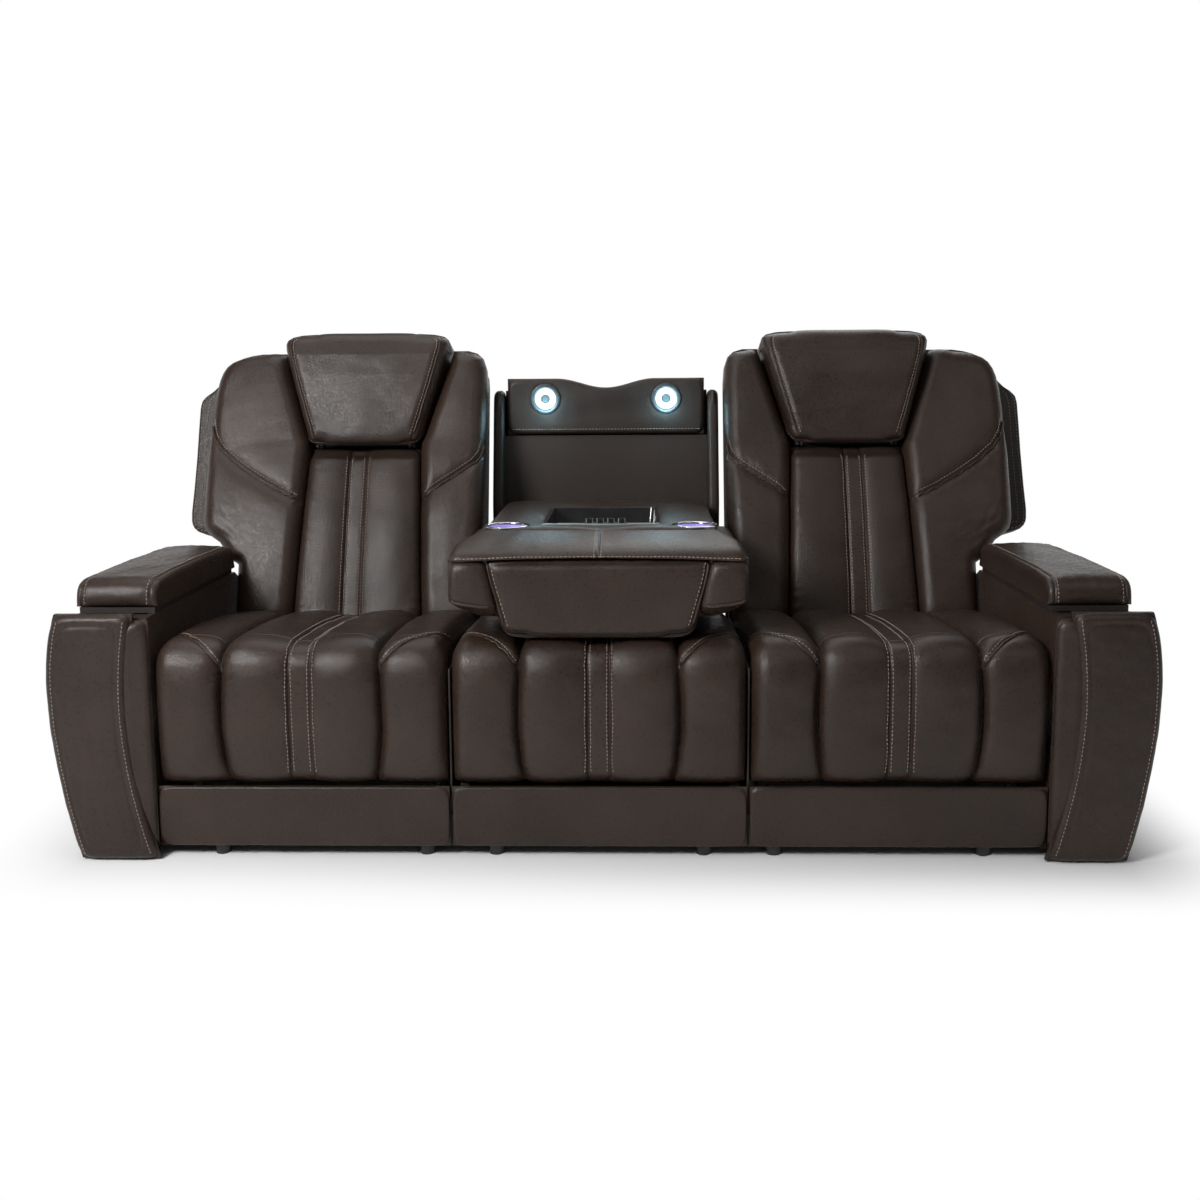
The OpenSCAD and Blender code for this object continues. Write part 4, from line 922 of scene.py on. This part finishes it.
def rod(radius, length, centre):
    bpy.ops.mesh.primitive_cylinder_add(vertices=64, radius=radius, depth=length, location=centre)
    bpy.ops.object.transform_apply()


def drawn(rise, spread_x, spread_y, centre):
    bpy.ops.mesh.extrude_region_move(TRANSFORM_OT_translate={"value": (0, 0, rise)})
    bpy.ops.transform.resize(value=(spread_x, spread_y, 1), center_override=centre)


def carve(target, name):
    cutter = bpy.context.object
    if cutter.mode == "EDIT":
        bpy.ops.object.mode_set(mode="OBJECT")
    bpy.ops.object.select_all(action="DESELECT")
    bpy.context.view_layer.objects.active = target
    target.select_set(True)
    cut = target.modifiers.new(name, "BOOLEAN")
    cut.object, cut.operation, cut.solver = cutter, "DIFFERENCE", "EXACT"
    bpy.ops.object.modifier_apply(modifier=cut.name)
    bpy.data.objects.remove(cutter)
    bpy.ops.object.select_all(action="DESELECT")


def table_top(u, v, edge):
    beside = np.maximum(np.abs(u) - 0.125, np.maximum(-0.14 - v, v - 0.184))
    raised = 0.0085 * (1 - fall(np.maximum(beside, 0), 0.03)) * crest((0.26 - np.abs(u)) / 0.27, 0.5)
    return -0.652 - raised + rolled(edge, 0.016) + 0.0006 * wrinkle(u, v, 0.12, 161)


def lying(u, w, v):
    return xyz(u, v, -w)


chrome = metal("bright_chrome", [0.62, 0.62, 0.65], 0.12, 60.0)
gloss = plastic("gloss_black", [0.012, 0.012, 0.013], 0.14, 0.6)
pale = plastic("pale_edge", [0.26, 0.31, 0.32], 0.3, 0.3)
cup_glow = lit("cup_glow", [0.42, 0.3, 1.0, 1], 0.75, [0.06, 0.05, 0.1])
tray_y, socket_y, cup_x, cup_y = 0.022, -0.1485, 0.206, -0.19
table = slab_piece("table_cover", slab(
    -0.246 + 0.58 * eased(110), eased(110), -0.2598, 0.2598, table_top, -0.53, 0.01, 2),
    lying, hide, "table", ["table_panel"])
block((0.2504, 0.3244, 0.052), (0, tray_y, 0.62), 0.014, 6)
for rise, spread in ((0.0095, 1.062), (0.0245, 1.055)):
    chosen("FACE", top_face)
    drawn(rise, spread, spread * 0.99, (0, tray_y, 0.65))
carve(table, "tray well")
for way in (-1, 1):
    rod(0.0462, 0.12, (way * cup_x, cup_y, 0.645))
    carve(table, "cup well")
for side, way in sides:
    block((0.0176, 0.04, 0.092), (way * 0.251, 0.15, 0.486))
    chosen("EDGE", lambda edge: max(v.co.z for v in edge.verts) < 0.441
           and abs(edge.verts[0].co.x - edge.verts[1].co.x) > 0.01)
    bpy.ops.mesh.bevel(offset=0.0199, segments=10, affect="EDGES")
    done("table_lug_" + side, enamel, "table", (), 0.001)
    spot = (way * cup_x, cup_y, 0)
    turned("cup_rim_" + side, [
        (0.0425, 0.652), (0.0425, 0.6575), (0.0435, 0.6592), (0.0455, 0.66), (0.0485, 0.6598),
        (0.0505, 0.6585), (0.051, 0.6565), (0.0505, 0.6545), (0.0445, 0.6535), (0.044, 0.65)],
        spot, chrome, "table", "chrome", ["cup_holders"] if way < 0 else ())
    turned("cup_light_" + side, [
        (0.041, 0.644), (0.0412, 0.653), (0.0424, 0.6545), (0.0438, 0.653), (0.0438, 0.644)],
        spot, cup_glow, "table", "light")
    rod(0.0455, 0.0578, (way * cup_x, cup_y, 0.6151))
    bpy.ops.object.mode_set(mode="EDIT")
    chosen("FACE", top_face)
    bpy.ops.mesh.inset(thickness=0.0037)
    for drop, narrow in ((-0.048, 0.96), (-0.0022, 0.9), (-0.0006, 0.7)):
        drawn(drop, narrow, narrow, (way * cup_x, cup_y, 0.6))
    done("cup_well_" + side, gloss, "table", (), 0.0004)
block((0.2496, 0.3236, 0.0575), (0, tray_y, 0.62425), 0.0145, 6)
chosen("FACE", top_face)
for rise, spread in ((0.0006, 1.04), (0.0014, 0.985)):
    drawn(rise, spread, 0.25 + 0.75 * spread, (0, tray_y, 0.655))
bpy.ops.mesh.inset(thickness=0.0045)
for drop, narrow in ((-0.047, 0.965), (-0.007, 0.96)):
    drawn(drop, narrow, narrow, (0, tray_y, 0.6))
done("tray_well", gloss, "table", ["tray_liner"], 0.0006)
block((0.262, 0.015, 0.004), (0, socket_y, 0.655), 0.004, 4)
done("tray_rim", pale, "table", (), 0.0009)
block((0.096, 0.013, 0.003), (0.01, socket_y, 0.6572), 0.003, 4)
done("socket_base", black, "table", ["socket_strip"], 0.0006)
for name, size, wall, depth, made_of, slot in (
        ("socket_", (0.013, 0.0118, 0.012), 0.0014, 0.008, gloss, "black_plastic"),
        ("socket_edge_", (0.0154, 0.0106, 0.0112), 0.0016, 0.009, pale, "chrome")):
    block(size, (-0.026, -0.148, 0.6565 + size[2] / 2), 0.0014)
    chosen("FACE", top_face)
    bpy.ops.mesh.inset(thickness=wall)
    bpy.ops.mesh.extrude_region_move(TRANSFORM_OT_translate={"value": (0, 0, -depth)})
    done(name + "1", made_of, "table", (), 0.0003)
    for k in (2, 3, 4):
        bpy.ops.object.duplicate()
        bpy.context.object.location.x = 0.024
        done(name + str(k), made_of, "table")


# Soft end of the folded back: a roll along its front with a seam down its middle, padded
# cheeks below it with punched leather, its headrest hanging between them and the face beneath.
def lower_edge(x):
    return 0.6235 - 0.0095 * (x / 0.303) ** 2


x = places(-0.303, 0.303, 0.006, (-0.004, 0.004))
rings = []
for station in x:
    bottom, end = lower_edge(station), float(rolled(0.303 - abs(station), 0.026))
    seam = float(0.004 * fall(station, 0.0035)) + 0.0008 * float(wrinkle(station, 0.0, 0.08, 171))
    ring = outline([
        (-0.2468, bottom + end * 0.2, 0.004), (-0.2468, 0.654 - end, 0.006),
        (-0.29, 0.66 - end - seam, 0.02), (-0.35, 0.657 - end - seam, 0.03),
        (-0.41, 0.648 - end - seam, 0.03), (-0.444 + end * 0.6, 0.637 - end * 0.8 - seam, 0.02),
        (-0.456 + end + seam, 0.5 * bottom + 0.313, 0.01),
        (-0.452 + end + seam, bottom + 0.001, 0.004), (-0.43, bottom, 0.004)], 0.004)
    closed = np.vstack([ring, ring[:1]])
    run = np.linspace(0, len(ring), 121)[:-1]
    rings.append(np.column_stack([np.full(120, station)] + [
        np.interp(run, np.arange(len(closed)), closed[:, k]) for k in (0, 1)]))
rings = np.array(rings)
rings[..., 0] *= np.interp(rings[..., 1], [-0.44, -0.38, -0.31, -0.25], [1.0, 0.985, 0.9, 0.862])
table_roll = piece("table_roll", rings.reshape(-1, 3), rows_to_faces(len(x), 120), hide, "table",
                   ["table_wings"])
for off in (-0.007, 0.007):
    stitch(table_roll, [(off, y, z) for y, z in (
        (-0.26, 0.66), (-0.35, 0.658), (-0.41, 0.648), (-0.444, 0.637), (-0.457, 0.626))])
span = np.linspace(-0.285, 0.285, 60)
stitch(table_roll, xyz(span, -0.458, lower_edge(span) + 0.0085))


def cheek_seam(u):
    return 0.529 + 0.14 * (u - 0.235)


for side, way in sides:
    rows = 0.498 + 0.122 * eased(50)
    cheek = slab_piece("table_cheek_" + side, slab(
        rows, eased(44), np.interp(rows, [0.498, 0.62], [0.2, 0.225]),
        np.interp(rows, [0.498, 0.505, 0.513, 0.521, 0.532, 0.545],
                  [0.232, 0.26, 0.276, 0.29, 0.3015, 0.303]),
        soft_face(-0.454, 0.018, 0.005, 0.02, [(0.0007, 0.05, 181)],
                  lambda u, v, edge: 0.9 * np.maximum(0, cheek_seam(u) - v)), -0.2468, 0.006),
        facing(way), hide_holes, "table", (),
        lambda u, v: ramp(u - 0.24, 0.002) * ramp(0.29 - u, 0.002))
    pipe(cheek, [(way * u, -0.455, cheek_seam(u)) for u in np.linspace(0.215, 0.3, 16)], 0.0034, 0.7)
    slab_piece("table_side_" + side, slab(
        0.509 + 0.114 * eased(36), eased(60), -0.3, 0.06, soft_face(-0.301, 0.014, 0.002, 0.02),
        -0.2602, 0.004),
        lambda u, w, v: xyz(-way * w, u, v), hide, "table", ())
rows = 0.457 + 0.166 * eased(80)
half = np.interp(rows, [0.457, 0.459, 0.464, 0.472, 0.484, 0.56, 0.61, 0.623],
                 [0.15, 0.17, 0.184, 0.1925, 0.1985, 0.22, 0.233, 0.235])
pillow = slab_piece("table_pillow_cover", slab(
    rows, eased(90), -half, half,
    soft_face(-0.45, 0.024, 0.008, 0.03, [(0.0009, 0.13, 191)],
              lambda u, v, edge: 0.0016 * fall(edge - 0.01, 0.0022)), -0.327, 0.02),
    facing(), hide, "table", ["table_pillow"])
v = np.linspace(0.488, 0.616, 30)
for way in (-1, 1):
    pipe(pillow, xyz(way * (np.interp(v, rows, half) - 0.009), -0.447, v), 0.0026, 0.5)
    stitch(pillow, xyz(way * (np.interp(v, rows, half) - 0.016), -0.453, v))
slab_piece("table_face", slab(
    -0.2764 + 0.3684 * eased(50), eased(50), -0.2275, 0.2275, soft_face(-0.5297, 0.003),
    lambda u, v: -0.479 + 0.0015 * wrinkle(u, v, 0.1, 195), 0.018, 1),
    lying, hide, "table", ["table_cushion"])


# Piping and thread: the sewn cords, cut from the same leather, and the stitches of pale
# twisted thread gathered so far, one piece of each per body.
cotton, tree, place = blank("stitch_thread")
thread = [0.26, 0.2, 0.168]
twist = noise(place, 2600.0, 2.0)
surface(tree, Roughness=0.62, Normal=bumped(twist, 0.0002, 0.6), Sheen_Weight=0.3,
        Base_Color=mixed(limits(twist, 0.3, 0.7), tint(thread, 0.7), tint(thread, 1.2)))
for body, cords in piped.items():
    points, faces = [], []
    for rings in cords:
        faces += [[i + len(points) for i in face] for face in rows_to_faces(len(rings), rings.shape[1])]
        points += rings.reshape(-1, 3).tolist()
    piece("piping_" + body, points, faces, hide, body)
for body, threads in sewn.items():
    faces = [[i + 24 * k for i in face] for k in range(len(threads)) for face in rows_to_faces(4, 6)]
    piece("stitches_" + body, np.concatenate(threads), faces, cotton, body)

bpy.context.view_layer.update()
